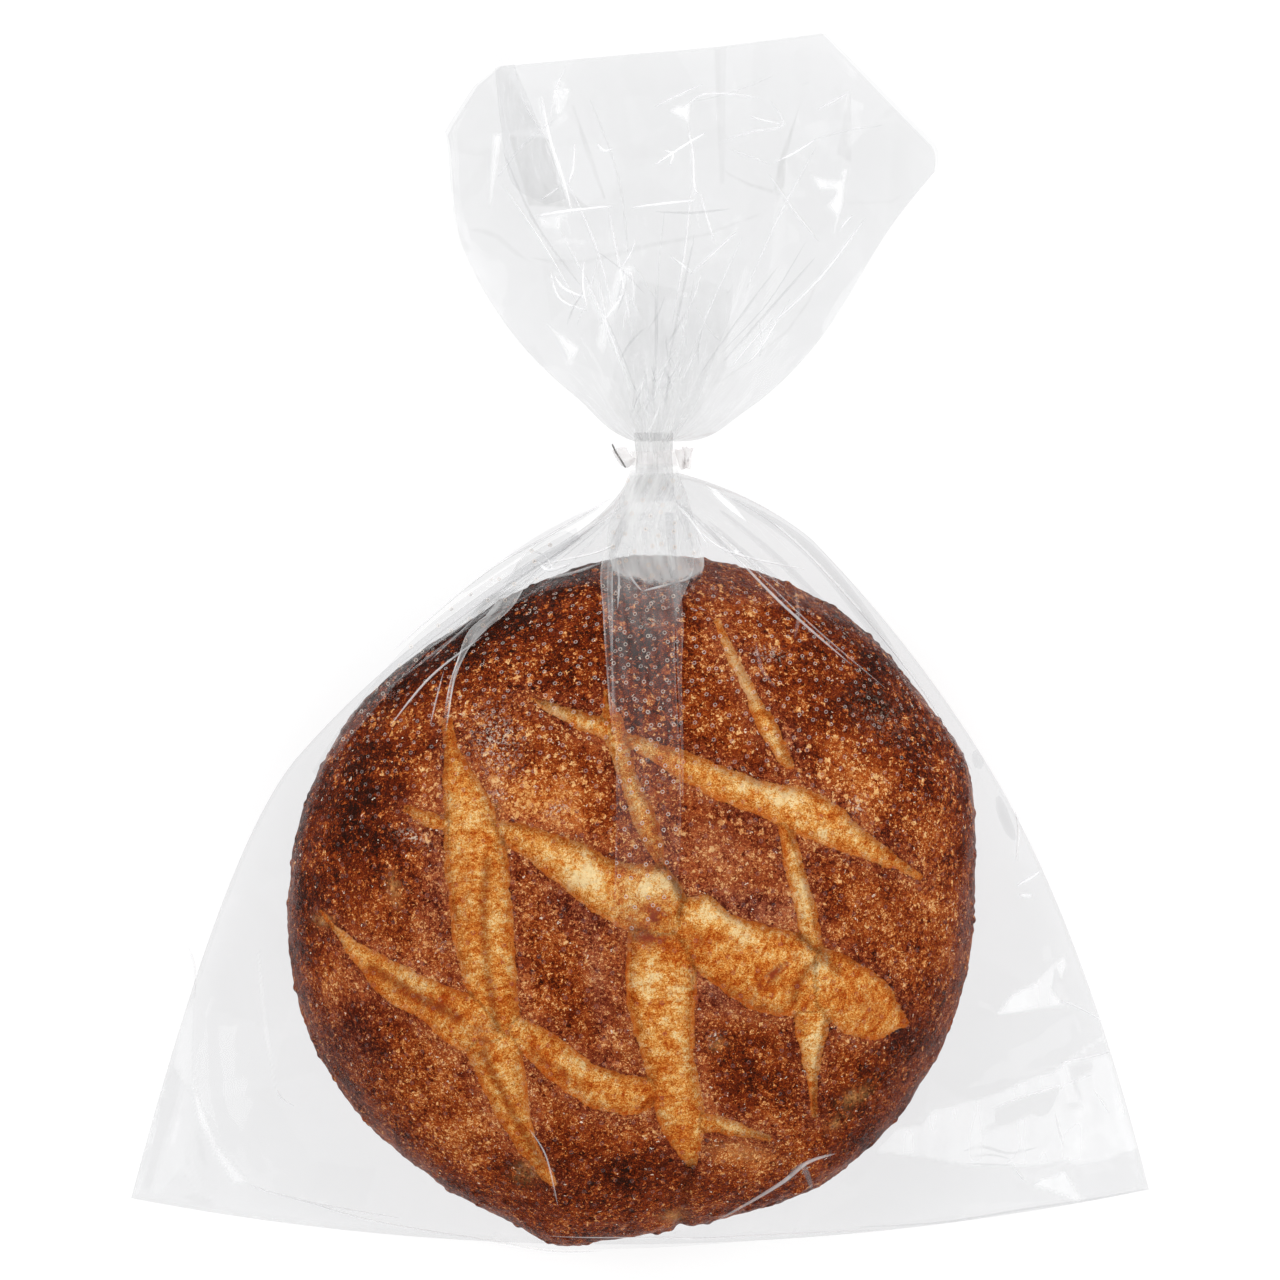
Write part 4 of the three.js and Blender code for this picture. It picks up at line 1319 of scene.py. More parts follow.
# Folds too narrow to be seen as more than lines: places along each, its width, how white it is,
# which is painted highlight along the fold, and how much it darkens what is under it.
FOLD_STEPS = 80
FOLD_ACROSS = 5
EVENED_STEPS = 6
DARK_SHARE = 0.4
BODY_FOLDS = (
    (((-3, 117), (0, 112), (3, 108.5)), 0.8, 0.5, 0),
    (((3, 108.5), (9, 110), (14.5, 111.5)), 0.8, 0.5, 0),
    (((14.5, 111.5), (19, 113), (21, 117)), 0.8, 0.4, 0),
    (((-6, 121), (-5, 112), (-5.5, 102)), 0.8, 0.4, 0),
    (((8, 128), (9, 121), (12, 114)), 1.2, 0.25, 0),
    (((-36, 117), (-24, 119.5), (-13, 122), (-6, 125)), 0.7, 0.6, 0),
    (((-34, 120), (-30, 116), (-22, 118)), 1.4, 0.6, 0),
    (((-28, 116.5), (-31, 121), (-36, 123)), 0.8, 0.5, 0),
    # The next two broad dark bands are painted reflection of the crust's rim in the film.
    (((-67, 88), (-56, 96), (-50, 104), (-40, 109)), 6.0, 0.0, 0.55),
    (((-88, 62), (-82, 74), (-75, 82)), 5.0, 0.0, 0.4),
    (((-84, 62), (-70, 79), (-52, 93)), 0.8, 0.5, 0),
    (((-65.5, 81), (-68, 71), (-70, 62)), 0.6, 0.3, 0),
    (((-60, 84), (-62, 78), (-64.5, 60)), 0.6, 0.3, 0),
    (((-120, -104), (-90, -113), (-40, -121), (-10, -122)), 0.7, 0.4, 0),
    (((-36, -76), (-30, -86), (-26, -104)), 0.6, 0.3, 0),
    (((26, -112), (50, -97), (60, -89), (70, -86)), 1.4, 0.4, 0.2),
    (((52, -97), (58, -90), (62, -99)), 2.4, 0.1, 0.5),
    (((-31, -115), (12, -117), (30, -118), (92, -116)), 0.7, 0.5, 0),
    (((56, 109), (57, 100), (55.5, 92)), 1.4, 0.08, 0),
    (((42, 91), (44, 82), (49, 75)), 1.4, 0.08, 0),
    (((34, 141), (60, 124), (84, 95), (100, 68)), 5.0, 0.0, 0.16),
    (((30, 137), (52, 118), (76, 92), (92, 70)), 3.0, 0.0, 0.12),
    (((26, 133), (44, 117), (60, 104)), 2.4, 0.0, 0.1),
    (((24, 146), (48, 133), (70, 112), (98, 78), (118, 46)), 1.0, 0.4, 0),
    (((22, 130), (34, 122), (60, 116)), 0.8, 0.5, 0),
    (((-12, 138), (-34, 126), (-60, 108)), 3.0, 0.0, 0.14),
    (((-10, 133), (-26, 123), (-44, 113)), 2.4, 0.0, 0.12),
    (((-8, 141), (-28, 129), (-52, 115), (-84, 88)), 0.8, 0.5, 0),
    (((150, -35), (157.5, -38), (165, -42.5)), 0.8, 0.5, 0),
    (((134, 5.5), (139, 8), (143, 10.5)), 0.9, 0.5, 0),
    (((135, 2.5), (137.5, 2), (140, 2)), 1.4, 0.4, 0),
    (((134, 31.5), (135, 25.5), (134, 14)), 1.0, 0.4, 0),
    (((127.5, 37), (130, 29), (133.5, 21.5)), 4.0, 0, 0.14),
    (((119.5, 53), (120.5, 49), (119.5, 47)), 4.0, 0, 0.1),
    (((125, -72.5), (137, -68.5), (151.5, -64.5), (161, -61.5)), 0.7, 0.5, 0),
    (((150, -57), (158.5, -55.5), (167.5, -53.5)), 0.8, 0.6, 0),
    (((148, -74), (150, -82.5), (152.5, -89.5)), 0.7, 0.4, 0),
    (((162, -67), (165, -71), (167.5, -75)), 0.7, 0.4, 0),
    (((115.5, -87.5), (122, -86), (132, -88.5), (142, -86.5)), 1.2, 0, 0.22),
    (((118, -89.5), (125, -89), (132, -90.5)), 0.9, 0, 0.2),
    (((116.5, -92), (125, -92.5), (133.5, -93)), 0.8, 0, 0.18),
    (((133.5, -92.5), (135, -95.5), (138, -99)), 0.7, 0.4, 0),
    (((79.5, -115), (108.5, -113.5), (137, -109), (163.5, -105), (181, -101.5)), 0.9, 0, 0.12),
    (((-135, -100), (-127.5, -102.5), (-118, -105)), 0.7, 0.3, 0),
    (((-119.5, -105), (-104, -108), (-82, -111.5)), 0.8, 0.4, 0),
    (((-124.5, -65.5), (-123, -68.5), (-118.5, -71)), 0.7, 0.25, 0),
    (((-156.5, -16.5), (-154.5, -23.5), (-154.5, -34.5)), 1.0, 0.2, 0),
)


def fold_lines(name, lines, height_at):
    """Narrow strips along smooth curves, joined as one piece. They taper to their ends as the
    root of a sine does, and lie on the film under them, a little arched. Each is given by places,
    its width, how white it gleams and how much it darkens."""
    across = np.linspace(1, -1, FOLD_ACROSS)[None, :]
    taper = np.sqrt(np.sin(np.pi * np.linspace(0.002, 0.998, FOLD_STEPS)))[:, None]
    grids, gleam, dense = [], [], []
    for places, wide, white, dark in lines:
        line = smooth_line(places, FOLD_STEPS)
        heading = np.gradient(line, axis=0)
        heading /= np.linalg.norm(heading, axis=1, keepdims=True)
        aside = np.stack([-heading[:, 1], heading[:, 0]], axis=-1)
        plan = line[:, None] + aside[:, None] * (across * taper * wide / 2)[..., None]
        # What lies under the fold is evened out over some steps each way, by a raised cosine.
        under = np.pad(height_at(line[:, 0], line[:, 1]), EVENED_STEPS, mode="edge")
        weights = np.hanning(2 * EVENED_STEPS + 3)[1:-1] / (EVENED_STEPS + 1)
        under = np.convolve(under, weights, mode="valid")[:, None]
        height = under + 0.4 + 0.15 * (1 - across**2)
        grids.append(np.concatenate([plan, height[..., None]], axis=-1))
        # Each fold's whiteness is painted highlight along its crease.
        gleam.append(white * taper * (1 - 0.4 * across**2))
        dense.append(dark * taper**2 * (1 - across**2))
    points = np.concatenate(grids)
    size = FOLD_STEPS * FOLD_ACROSS
    faces = np.concatenate([grid_faces(FOLD_STEPS, FOLD_ACROSS, size * i) for i in range(len(grids))])
    layers = {"gleam": np.concatenate(gleam), "dense": np.concatenate(dense), "flat_place": points}
    film_piece(name, points, faces, layers)


def random_folds(count, place_of, seed):
    """Slightly bent random folds. Each starts and ends at two places picked by shares from 0 to
    1; some of them darken, and the others are white."""
    luck = np.random.default_rng(seed).random((count, 6))
    lines = []
    for start, run, bend, wide, white, kind in luck:
        ends = [np.array(place_of(start, run, step)) for step in (0.0, 0.5, 1.0)]
        side = ends[2] - ends[0]
        ends[1] = ends[1] + np.array([-side[1], side[0]]) * 0.12 * (bend - 0.5)
        darkens = kind < DARK_SHARE
        # The white folds carry painted highlight.
        highlight_whiteness = 0.0 if darkens else 0.06 + 0.36 * white
        lines.append((ends, 0.4 + 0.7 * wide, highlight_whiteness, 0.14 if darkens else 0.0))
    return lines


def shoulder_place(start, run, step):
    """From beside the neck, out and down over a shoulder."""
    side = -1 if start < 0.5 else 1
    turned = np.radians(90 - side * (10 + 110 * abs(start - 0.5)))
    foot = np.array([NECK_X + side * mix(3, 14, run), 144 - 8 * run])
    far = mix(112, 122, run) * np.array([np.cos(turned), np.sin(turned)])
    return mix(foot, far, mix(0.05 + 0.2 * run, 0.45 + 0.45 * run, step))


shoulder_folds = tuple(random_folds(26, shoulder_place, 71))
fold_lines("body_folds", BODY_FOLDS + shoulder_folds, lambda x, y: film_height(x, y)[0])

# ---------------------------------------------------------------- the neck
# The bag's two layers beyond the loaf, drawn together by hand into a round rope of gathers. It
# passes through the tie, which pinches it.

NECK_START = 140
NECK_FINISH = 164
NECK_ROWS = 40
NECK_COLUMNS = 240
TIE_Y = 155.0
PINCH_DEPTH = 0.1
PINCH_REACH = 4
FLUTE_HEIGHT = 0.8
NECK_FLUTES = ((1.0, 2.6, 35), (0.7, 1.2, 36))

neck_y = np.linspace(NECK_START, NECK_FINISH, NECK_ROWS)[:, None]
neck_turn = np.linspace(0, 2 * np.pi, NECK_COLUMNS, endpoint=False)[None, :]
pinch = 1 - PINCH_DEPTH * np.exp(-(((neck_y - TIE_Y) / PINCH_REACH) ** 2))
level = 0 * (neck_y + neck_turn)
round_place = np.stack(
    [7 * np.cos(neck_turn) + level, neck_y / 4 + level, 7 * np.sin(neck_turn) + level], axis=-1
)
neck_radius = (NECK_RADIUS - 0.5) * pinch + FLUTE_HEIGHT * swells(round_place, NECK_FLUTES)
neck = np.stack(
    [
        NECK_X + neck_radius * np.cos(neck_turn),
        neck_y + level,
        NECK_Z + neck_radius * np.sin(neck_turn),
    ],
    axis=-1,
)
formed = ease(neck_y, NECK_START, NECK_START + 8)
neck_layers = {
    "haze": np.clip(0.2 + 0.3 * swell(round_place, 1.2, 37), 0.02, 0.8) * formed,
    "dense": np.clip(0.12 + 0.2 * swell(round_place, 1.8, 38), 0, 0.5) * formed,
    "flat_place": neck,
}
film_piece("bag_neck", neck, grid_faces(NECK_ROWS, NECK_COLUMNS, closed=True), neck_layers)

# ---------------------------------------------------------------- the ruffle
# The open end of the bag beyond the tie. Its two layers spread out from the neck in pleats, and
# end at the mouth, which was cut straight but hangs askew.

NECK_END = 161.0
RUFFLE_SWELL = 9.0
RUFFLE_THICKNESS = 3.4
# Directions of its left and right edges in degrees, from the neck out.
LEFT_TURNS = (160, 150, 142, 134, 124)
RIGHT_TURNS = (0, 19, 32, 41, 44)
# The line of the mouth, about the end of the neck.
MOUTH = np.array(
    [
        (-90, 79),
        (-72, 112),
        (-63.5, 125),
        (-55, 132),
        (23.5, 139),
        (60, 143.5),
        (75, 128.5),
        (104, 99.5),
        (118, 84),
    ]
)
RUFFLE_ACROSS = 400
RUFFLE_OUT = 245
# Mean width and length of the ruffle, by which places near its edges are told.
RUFFLE_WIDTH = 220
RUFFLE_LENGTH = 140
PLEAT_RISE = 1.8
PLEATS_ACROSS = 3.25

# Creases in each layer, in plan about the end of the neck: places, height and width.
UPPER_CREASES = (
    (((23, 139), (23, 99), (25, 27)), 1.6, 5.0),
    (((-39, 119), (-30, 78), (-26, 60)), 1.4, 2.0),
    (((-32, 119), (-18, 82), (-16, 64)), 2.0, 6.0),
    (((-42, 82), (-2, 83), (20, 85)), 1.3, 2.2),
    (((-44, 64), (-6, 70), (35, 76)), 1.8, 6.0),
    (((13, 103), (16, 76)), 1.1, 1.6),
    (((0, 97), (17, 108)), 0.9, 1.6),
    (((0, 108), (5, 100), (12, 96)), 0.8, 1.6),
    (((52, 125), (42, 87), (41, 63), (34, 30)), 2.2, 5.0),
    (((67, 129), (66, 100), (60, 74)), 1.6, 4.0),
    (((48, 101), (61, 92), (68, 104)), 1.4, 3.0),
    (((56, 80), (61, 92), (72, 88)), 1.2, 3.0),
    (((43, 86), (54, 85), (83, 89), (93, 94)), 1.4, 3.0),
    (((-56, 110), (-58, 84), (-50, 66)), 1.8, 3.0),
    (((-36, 59), (-23, 42)), 1.0, 2.0),
    (((-33, 40), (-28, 27)), 1.0, 2.0),
    (((-12, 60), (-20, 34), (-16, 16)), 2.0, 5.0),
    (((30, 76), (20, 50), (18, 30)), 1.8, 4.0),
    (((62, 60), (48, 40), (30, 18)), 1.6, 5.0),
)
LOWER_CREASES = (
    (((-50, 118), (-40, 76), (-20, 30)), 1.6, 6.0),
    (((-60, 92), (-20, 96), (20, 88)), 1.4, 5.0),
    (((5, 130), (2, 90), (6, 40)), 1.6, 6.0),
    (((40, 138), (34, 96), (22, 40)), 1.6, 5.0),
    (((92, 100), (60, 66), (28, 24)), 1.6, 6.0),
    (((30, 110), (60, 104), (88, 110)), 1.2, 4.0),
)
# Facets of the upper layer, about the end of the neck: white ones, painted highlights where they face
# the light, and ones where two or more layers of film overlap and look darker.
RUFFLE_GLINTS = (
    ([(-57.5, 109), (-52.5, 109), (-54.5, 95.5), (-56.5, 84), (-58.5, 79.5)], 0.5),
    ([(-36.5, 123.5), (-33.5, 125.5), (-28.5, 124.5), (-30, 119), (-32, 114), (-35.5, 114.5)], 0.35),
    ([(3.5, 116), (8, 119), (14, 120), (12.5, 110.5), (8.5, 113.5)], 0.4),
    ([(53, 95.5), (58, 93.5), (65, 92.5), (65, 96.5), (69, 97), (67.5, 90), (67, 83), (63, 71),
      (62, 72.5), (63, 79), (59, 83), (63, 87.5), (57.5, 87.5)], 0.45),
    ([(-14, 60.5), (-10.5, 63), (-5.5, 62), (-9.5, 53.5), (-13, 43), (-17.5, 27), (-21.5, 34),
      (-19, 43)], 0.28),
    ([(-41, 44.5), (-34, 39.5), (-25, 33), (-28, 27), (-30.5, 25.5), (-31.5, 30.5), (-36.5, 38.5)], 0.4),
    ([(8, 52.5), (12.5, 53), (12, 49.5), (8.5, 49.5)], 0.6),
    ([(23, 57), (25.5, 53), (29, 58.5), (27.5, 52.5), (25, 50)], 0.4),
    ([(-42, 79), (-29.5, 82), (-28.5, 80.5), (-31.5, 77.5), (-32, 72.5), (-40, 74.5)], 0.25),
    ([(-38.5, 70.5), (-31.5, 72.5), (-21.5, 71), (-24.5, 68), (-36.5, 68)], 0.2),
    ([(49.5, 125), (60, 129.5), (53, 124.5)], 0.25),
)
RUFFLE_PANELS = (
    ([(-51.5, 108), (-35.5, 107), (-33.5, 91), (-20.5, 81), (-44.5, 82.5), (-48, 95.5)], 0.2),
    ([(-56.5, 131.5), (-51.5, 131), (-45.5, 119), (-39.5, 110), (-51.5, 108), (-55, 118.5)], 0.1),
    ([(20.5, 138.5), (25.5, 139.5), (25, 90), (22.5, 90)], 0.1),
    ([(53.5, 125.5), (51, 116.5), (46.5, 99), (46, 89.5), (43, 83), (41.5, 88.5), (43, 98),
      (47.5, 110.5)], 0.18),
    ([(69.5, 127.5), (69.5, 97), (63.5, 101), (66.5, 116.5)], 0.12),
    ([(-8, 50), (-6, 57), (9, 53.5), (18, 57), (27.5, 52.5), (25.5, 25.5), (16, 9.5), (9, 2), (-6, 2.5),
      (-14, 9.5), (-16.5, 15.5), (-14, 27), (-5, 43)], 0.08),
    ([(16, 18.5), (23, 22), (33.5, 29.5), (46, 39.5), (53.5, 50), (62, 71), (55.5, 50), (47.5, 38.5),
      (34.5, 28), (25, 21)], 0.1),
    ([(-29.5, 118.5), (-28, 118.5), (-21.5, 101), (-16.5, 85), (-18, 84.5), (-24.5, 101)], 0.14),
    ([(23, 97), (26.5, 94.5), (33.5, 91), (42.5, 88.5), (41.5, 86.5), (33.5, 89), (25.5, 93)], 0.16),
    ([(-46.5, 65), (-24.5, 64), (-7, 69), (18, 73.5), (37, 80.5), (37.5, 79), (18, 71.5), (-1.5, 67.5),
      (-22.5, 62), (-36.5, 62)], 0.1),
    ([(-66.5, 74.5), (-61, 75.5), (-54, 73), (-48, 67.5), (-40, 60.5), (-49, 65), (-56, 71)], 0.07),
    ([(51, 86), (65, 84.5), (82.5, 85), (93, 90), (83.5, 83.5), (63.5, 83)], 0.06),
)


def ruffle_layer(face, mouth, creases, seed):
    """One layer of the ruffle. A point turns from the left edge's direction to the right edge's
    and goes out to the mouth's line. Its height is the neck's, sinking to the ground, plus low
    pleats that deepen outwards, fine gathers that fade outwards, and the creases."""
    across = np.linspace(0, 1, RUFFLE_ACROSS)[None, :]
    out = (np.linspace(0, 1, RUFFLE_OUT) ** 1.1)[:, None]
    turns = mix(through(LEFT_TURNS, out), through(RIGHT_TURNS, out), across)
    mouth_turns = mix(float(LEFT_TURNS[-1]), float(RIGHT_TURNS[-1]), across[0])
    corner = 1 - 0.04 * np.clip((across - 0.96) / 0.04, 0, 1) ** 2
    reach = out * corner * reach_of(mouth, mouth_turns)[None, :]
    foot = mix(-NECK_RADIUS, NECK_RADIUS, across) * (1 - ease(out, 0, 0.25))
    round_side = np.sqrt(1 - (2 * across - 1) ** 2)
    rounding = mix(round_side, 1, ease(out, 0.03, 0.3))
    thickness = mix(NECK_RADIUS * 2, RUFFLE_THICKNESS, ease(out, 0, 0.4))
    wave = np.sin(2 * np.pi * PLEATS_ACROSS * across + 1.1 * np.sin(5 * across))
    uneven = 0.72 + 0.28 * np.cos(7 * across + 2)
    middle = mix(NECK_Z, RUFFLE_SWELL + RUFFLE_THICKNESS, ease(out, 0, 0.9))
    x = foot + reach * np.cos(np.radians(turns))
    y = reach * np.sin(np.radians(turns))
    spot = flat(x, y)
    patches, _ = blisters(spot, 46.0, seed)
    ridges = 0.35 * creased(x, y, creases) + 1.4 * (patches - 0.5)
    ridges = ridges + 0.5 * swell(spot, 22.0, seed + 1)
    fan = np.stack([90 * across + 0 * out, 14 * out + 0 * across, 0 * x], axis=-1)
    gathers = swells(fan, ((1.0, 3.0, seed + 2), (0.6, 1.3, seed + 3)))
    inner = ease(np.minimum(across, 1 - across), 0, 0.03) * ease(out, 0.04, 0.3) * ease(out, 1.0, 0.97)
    height = middle + PLEAT_RISE * uneven * wave * out + face * thickness * rounding / 2
    height = height + inner * ridges + 1.5 * gathers * ease(out, 0, 0.08) * np.exp(-out / 0.16)
    points = np.stack([NECK_X + x, NECK_END + y, np.maximum(height, 0.6)], axis=-1)
    inset = np.minimum(np.minimum(across, 1 - across) * RUFFLE_WIDTH, (1 - out) * RUFFLE_LENGTH)
    haze = 0.004 + 0.06 * ease(inset, 1.0, 0.3) + 0.14 * np.exp(-out / 0.1) * (1 + gathers)
    return points, np.clip(haze, 0, 0.8)


UPPER_MOUTH = MOUTH * np.array([0.975, 1.0])
for name, face, mouth, creases, seed in (
    ("ruffle_upper", 1, UPPER_MOUTH, UPPER_CREASES, 41),
    ("ruffle_lower", -1, MOUTH, LOWER_CREASES, 51),
):
    points, haze = ruffle_layer(face, mouth, creases, seed)
    x, y = points[..., 0] - NECK_X, points[..., 1] - NECK_END
    shown = 1.0 if face > 0 else 0.0
    streaks = 1 + 0.5 * swell(flat(x, y / 6), 1.6, 45)
    # Painted highlight on the upper layer's facets, broken into streaks.
    glints = panelled(x, y, RUFFLE_GLINTS, 2.5) * np.clip(0.8 * streaks, 0.1, 1.2)
    # Each layer has facets of its own, the broad ones and the narrow ones unevenly dark.
    _, broad = blisters(flat(x, y), 36.0, seed + 4)
    _, narrow = blisters(flat(x, y), 17.0, seed + 5)
    facet_shade = 0.045 * broad + 0.035 * narrow
    layers = {
        "haze": haze,
        "gleam": shown * glints,
        "dense": shown * panelled(x, y, RUFFLE_PANELS) * streaks + facet_shade,
        "flat_place": points,
    }
    film_piece(name, points, grid_faces(RUFFLE_OUT, RUFFLE_ACROSS)[:, ::-face], layers)
    if face > 0:
        upper_layer = points[::4, ::4].reshape(-1, 3)


def ruffle_height(x, y):
    """Mean height of the upper layer about each place, its points weighted by a bell curve of
    their distance."""
    here = np.stack([x.ravel(), y.ravel()], axis=-1)
    away = ((here[:, None] - upper_layer[None, :, :2]) ** 2).sum(axis=-1)
    weight = np.exp(-away / 6) + 1e-12
    return ((weight @ upper_layer[:, 2]) / weight.sum(axis=1)).reshape(x.shape) + 1.3


def fan_place(start, run, step):
    """From near the neck out towards the mouth, within the fan."""
    turned = np.radians(mix(44, 128, start)) + 0.1 * (run - 0.5) * step
    out = mix(8 + 60 * run, 50 + 75 * run, step)
    return NECK_X + out * np.cos(turned), NECK_END + out * np.sin(turned)


def knot_place(start, run, step):
    """A short fold anywhere in the crumpled part near the neck."""
    out = 6 + 52 * run
    turned = np.radians(mix(62, 122, start))
    lean = mix(-9, 9, (start * 17.3) % 1) * (step - 0.5)
    return NECK_X + out * np.cos(turned) + lean, NECK_END + out * np.sin(turned) + 12 * (step - 0.5)


def crossing_place(start, run, step):
    """A fold anywhere in the ruffle, in any direction."""
    lean = np.radians(360 * ((start * 31.7) % 1))
    reach = (8 + 26 * ((run * 13.1) % 1)) * (step - 0.5)
    x = mix(-52, 78, start) * mix(0.5, 1, run) + reach * np.cos(lean)
    y = mix(34, 126, run) + reach * np.sin(lean)
    return NECK_X + x, NECK_END + y


# Bright lines of painted highlight in the upper layer: places about the end of the neck, width and
# whiteness.
RUFFLE_LINES = (
    ([(-39.5, 121), (-36.5, 106), (-32, 92), (-28.5, 79.5)], 1.0, 0.7),
    ([(-28, 105), (-28.5, 95.5), (-30.5, 90)], 0.7, 0.5),
    ([(0, 97), (9, 103), (18, 108.5)], 0.8, 0.8),
    ([(3.5, 102), (6.5, 101), (5.5, 97)], 0.7, 0.7),
    ([(11.5, 112), (13.5, 101), (14, 90), (15.5, 86.5)], 0.7, 0.5),
    ([(-42, 79), (-29.5, 81), (-14, 82.5)], 0.9, 0.7),
    ([(-8, 82), (3.5, 83.5), (14.5, 84.5)], 0.8, 0.7),
    ([(42.5, 98), (49.5, 101.5), (56.5, 106)], 0.7, 0.6),
    ([(-35, 58), (-31.5, 53.5), (-23.5, 50)], 0.8, 0.7),
    ([(-36.5, 59.5), (-33, 50), (-23.5, 45.5)], 0.7, 0.6),
    ([(-24.5, 64), (-25, 55), (-23.5, 46.5)], 0.7, 0.6),
    ([(-39.5, 85), (-36.5, 87), (-33, 89.5)], 0.7, 0.6),
    ([(0, 117.5), (9, 122), (17, 125.5)], 0.7, 0.4),
    ([(9, 115.5), (16, 121.5), (26.5, 122), (37, 120.5)], 0.7, 0.4),
    ([(40.5, 120), (45, 111), (33.5, 108.5), (23, 105)], 0.7, 0.3),
    ([(33.5, 114), (39, 112.5), (45, 111)], 0.7, 0.4),
    ([(26.5, 102.5), (33.5, 100), (40.5, 97)], 0.6, 0.2),
    ([(65, 74.5), (67, 77), (69.5, 79.5)], 0.6, 0.5),
    ([(5.5, 65), (9.5, 62), (14, 58.5)], 0.7, 0.5),
    ([(32, 27), (37, 32.5), (47.5, 50)], 0.6, 0.4),
    ([(26.5, 25.5), (33.5, 34), (41.5, 43)], 0.6, 0.3),
    ([(-20, 104.5), (-17.5, 102), (-14.5, 103)], 0.8, 0.6),
    ([(-47, 122), (-43.5, 115), (-36.5, 104.5)], 0.6, 0.3),
    ([(-12, 60.5), (-8.5, 65.5), (-6.5, 71)], 0.6, 0.4),
)
ruffle_folds = []
for places, wide, white in RUFFLE_LINES:
    ruffle_folds.append(([(NECK_X + px, NECK_END + py) for px, py in places], wide, white, 0.0))
ruffle_folds += random_folds(20, fan_place, 72)
ruffle_folds += random_folds(40, knot_place, 73)
ruffle_folds += random_folds(12, crossing_place, 74)
fold_lines("ruffle_folds", ruffle_folds, ruffle_height)

# The inner folds of the mouth: a crumpled tongue that stands up from the neck between the layers,
# and a flap where the upper layer's left side doubles over. Each has its left and right edges, its
# milkiness along it, how high its crumples stand, and how far it thins out to clear film.
TONGUE_ALONG = 200
TONGUE_ACROSS = 110
TONGUE_WIDTH = 30
TONGUE_LENGTH = 60
TONGUE_FOLDS = ((1.0, 2.4, 61), (0.7, 1.0, 62))
TONGUES = {
    "ruffle_tongue": (
        ((-6.5, 0), (-13, 16), (-14, 34), (-12, 50), (-4, 64)),
        ((6.5, 0), (15, 14), (22, 32), (27, 46), (27, 60)),
        (0.2, 0.06, 0.02),
        0.8,
        1.0,
    ),
    "ruffle_flap": (
        ((-38, 83), (-50, 91), (-54, 112), (-56, 132)),
        ((-31, 85), (-35, 98), (-42, 115), (-48, 129)),
        (0.02, 0.03, 0.03),
        0.3,
        0.0,
    ),
}
for name, (left, right, milk, crumple, thins) in TONGUES.items():
    left, right = smooth_line(left, TONGUE_ALONG), smooth_line(right, TONGUE_ALONG)
    across = np.linspace(0, 1, TONGUE_ACROSS)[None, :]
    down = np.linspace(0, 1, TONGUE_ALONG)[:, None]
    plan = mix(left[:, None], right[:, None], across[..., None])
    bow = 26 * across * (1 - across) + 2 * np.sin(19 * across)
    x, y = plan[..., 0], plan[..., 1] + bow * down**3
    out = np.hypot(x, y) / RUFFLE_LENGTH
    middle = mix(NECK_Z, RUFFLE_SWELL + RUFFLE_THICKNESS, ease(out, 0, 0.9))
    upper = middle + mix(NECK_RADIUS, RUFFLE_THICKNESS / 2, ease(out, 0, 0.4)) + 3.0 * ease(out, 0, 0.2)
    streaks = np.stack([TONGUE_WIDTH * across + 0 * down, 16 * down + 3 * across, 0 * x], axis=-1)
    folds = swells(streaks, TONGUE_FOLDS)
    inset = np.minimum(np.minimum(across, 1 - across) * TONGUE_WIDTH, (1 - down) * TONGUE_LENGTH)
    height = upper + crumple * folds * ease(inset, 0, 2) * (1 - 0.5 * down)
    strip = np.stack([NECK_X + x, NECK_END + y, height], axis=-1)
    haze = through(milk, down) * (1 + 0.9 * folds) + 0.06 * ease(inset, 0.8, 0.1)
    # The tongue's far end and left side thin out, so that they show no outline.
    thinned = thins * np.maximum(ease(down, 0.45, 0.95), ease(across, 0.2, 0.0))
    layers = {
        "haze": np.clip(haze, 0, 0.8) * (1 - thinned),
        "cling": thinned,
        "flat_place": strip,
    }
    film_piece(name, strip, grid_faces(TONGUE_ALONG, TONGUE_ACROSS), layers)

# ---------------------------------------------------------------- the twist tie
# A ribbon of white translucent plastic with a steel wire along its middle, twisted shut by hand.
# One end stands up with its wire bare; the other is folded into a short crumpled tail.

TIE_RADIUS = 8.2
RIBBON_ROUND = 24
WIRE_WIDTH = 0.6
WIRE_STEPS = 24

plastic, tree = new_material("tie plastic")
place = millimetres(tree)
mottle = noise(tree, place, 0.8, 3.0, 0.6)
colour = ramp(tree, mottle, ((0.3, paint(226, 220, 219)), (0.7, paint(244, 242, 241))))
relief = add(tree, "ShaderNodeBump", {"Strength": 0.5, "Distance": 0.0003, "Height": mottle}).outputs[0]
ribbon = add(
    tree,
    "ShaderNodeBsdfPrincipled",
    {"Base Color": colour, "Roughness": 0.3, "Normal": relief, "Alpha": layer(tree, "cloudy")},
)
add(tree, "ShaderNodeOutputMaterial", {"Surface": ribbon.outputs[0]})

steel, tree = new_material("tie wire")
place = millimetres(tree)
tarnish = noise(tree, place, 1.5, 2.0, 0.5)
colour = ramp(tree, tarnish, ((0.3, paint(120, 118, 116)), (0.7, paint(168, 166, 164))))
metal = {"Base Color": colour, "Metallic": 1.0, "Roughness": 0.4}
bare_wire = add(tree, "ShaderNodeBsdfPrincipled", metal)
add(tree, "ShaderNodeOutputMaterial", {"Surface": bare_wire.outputs[0]})


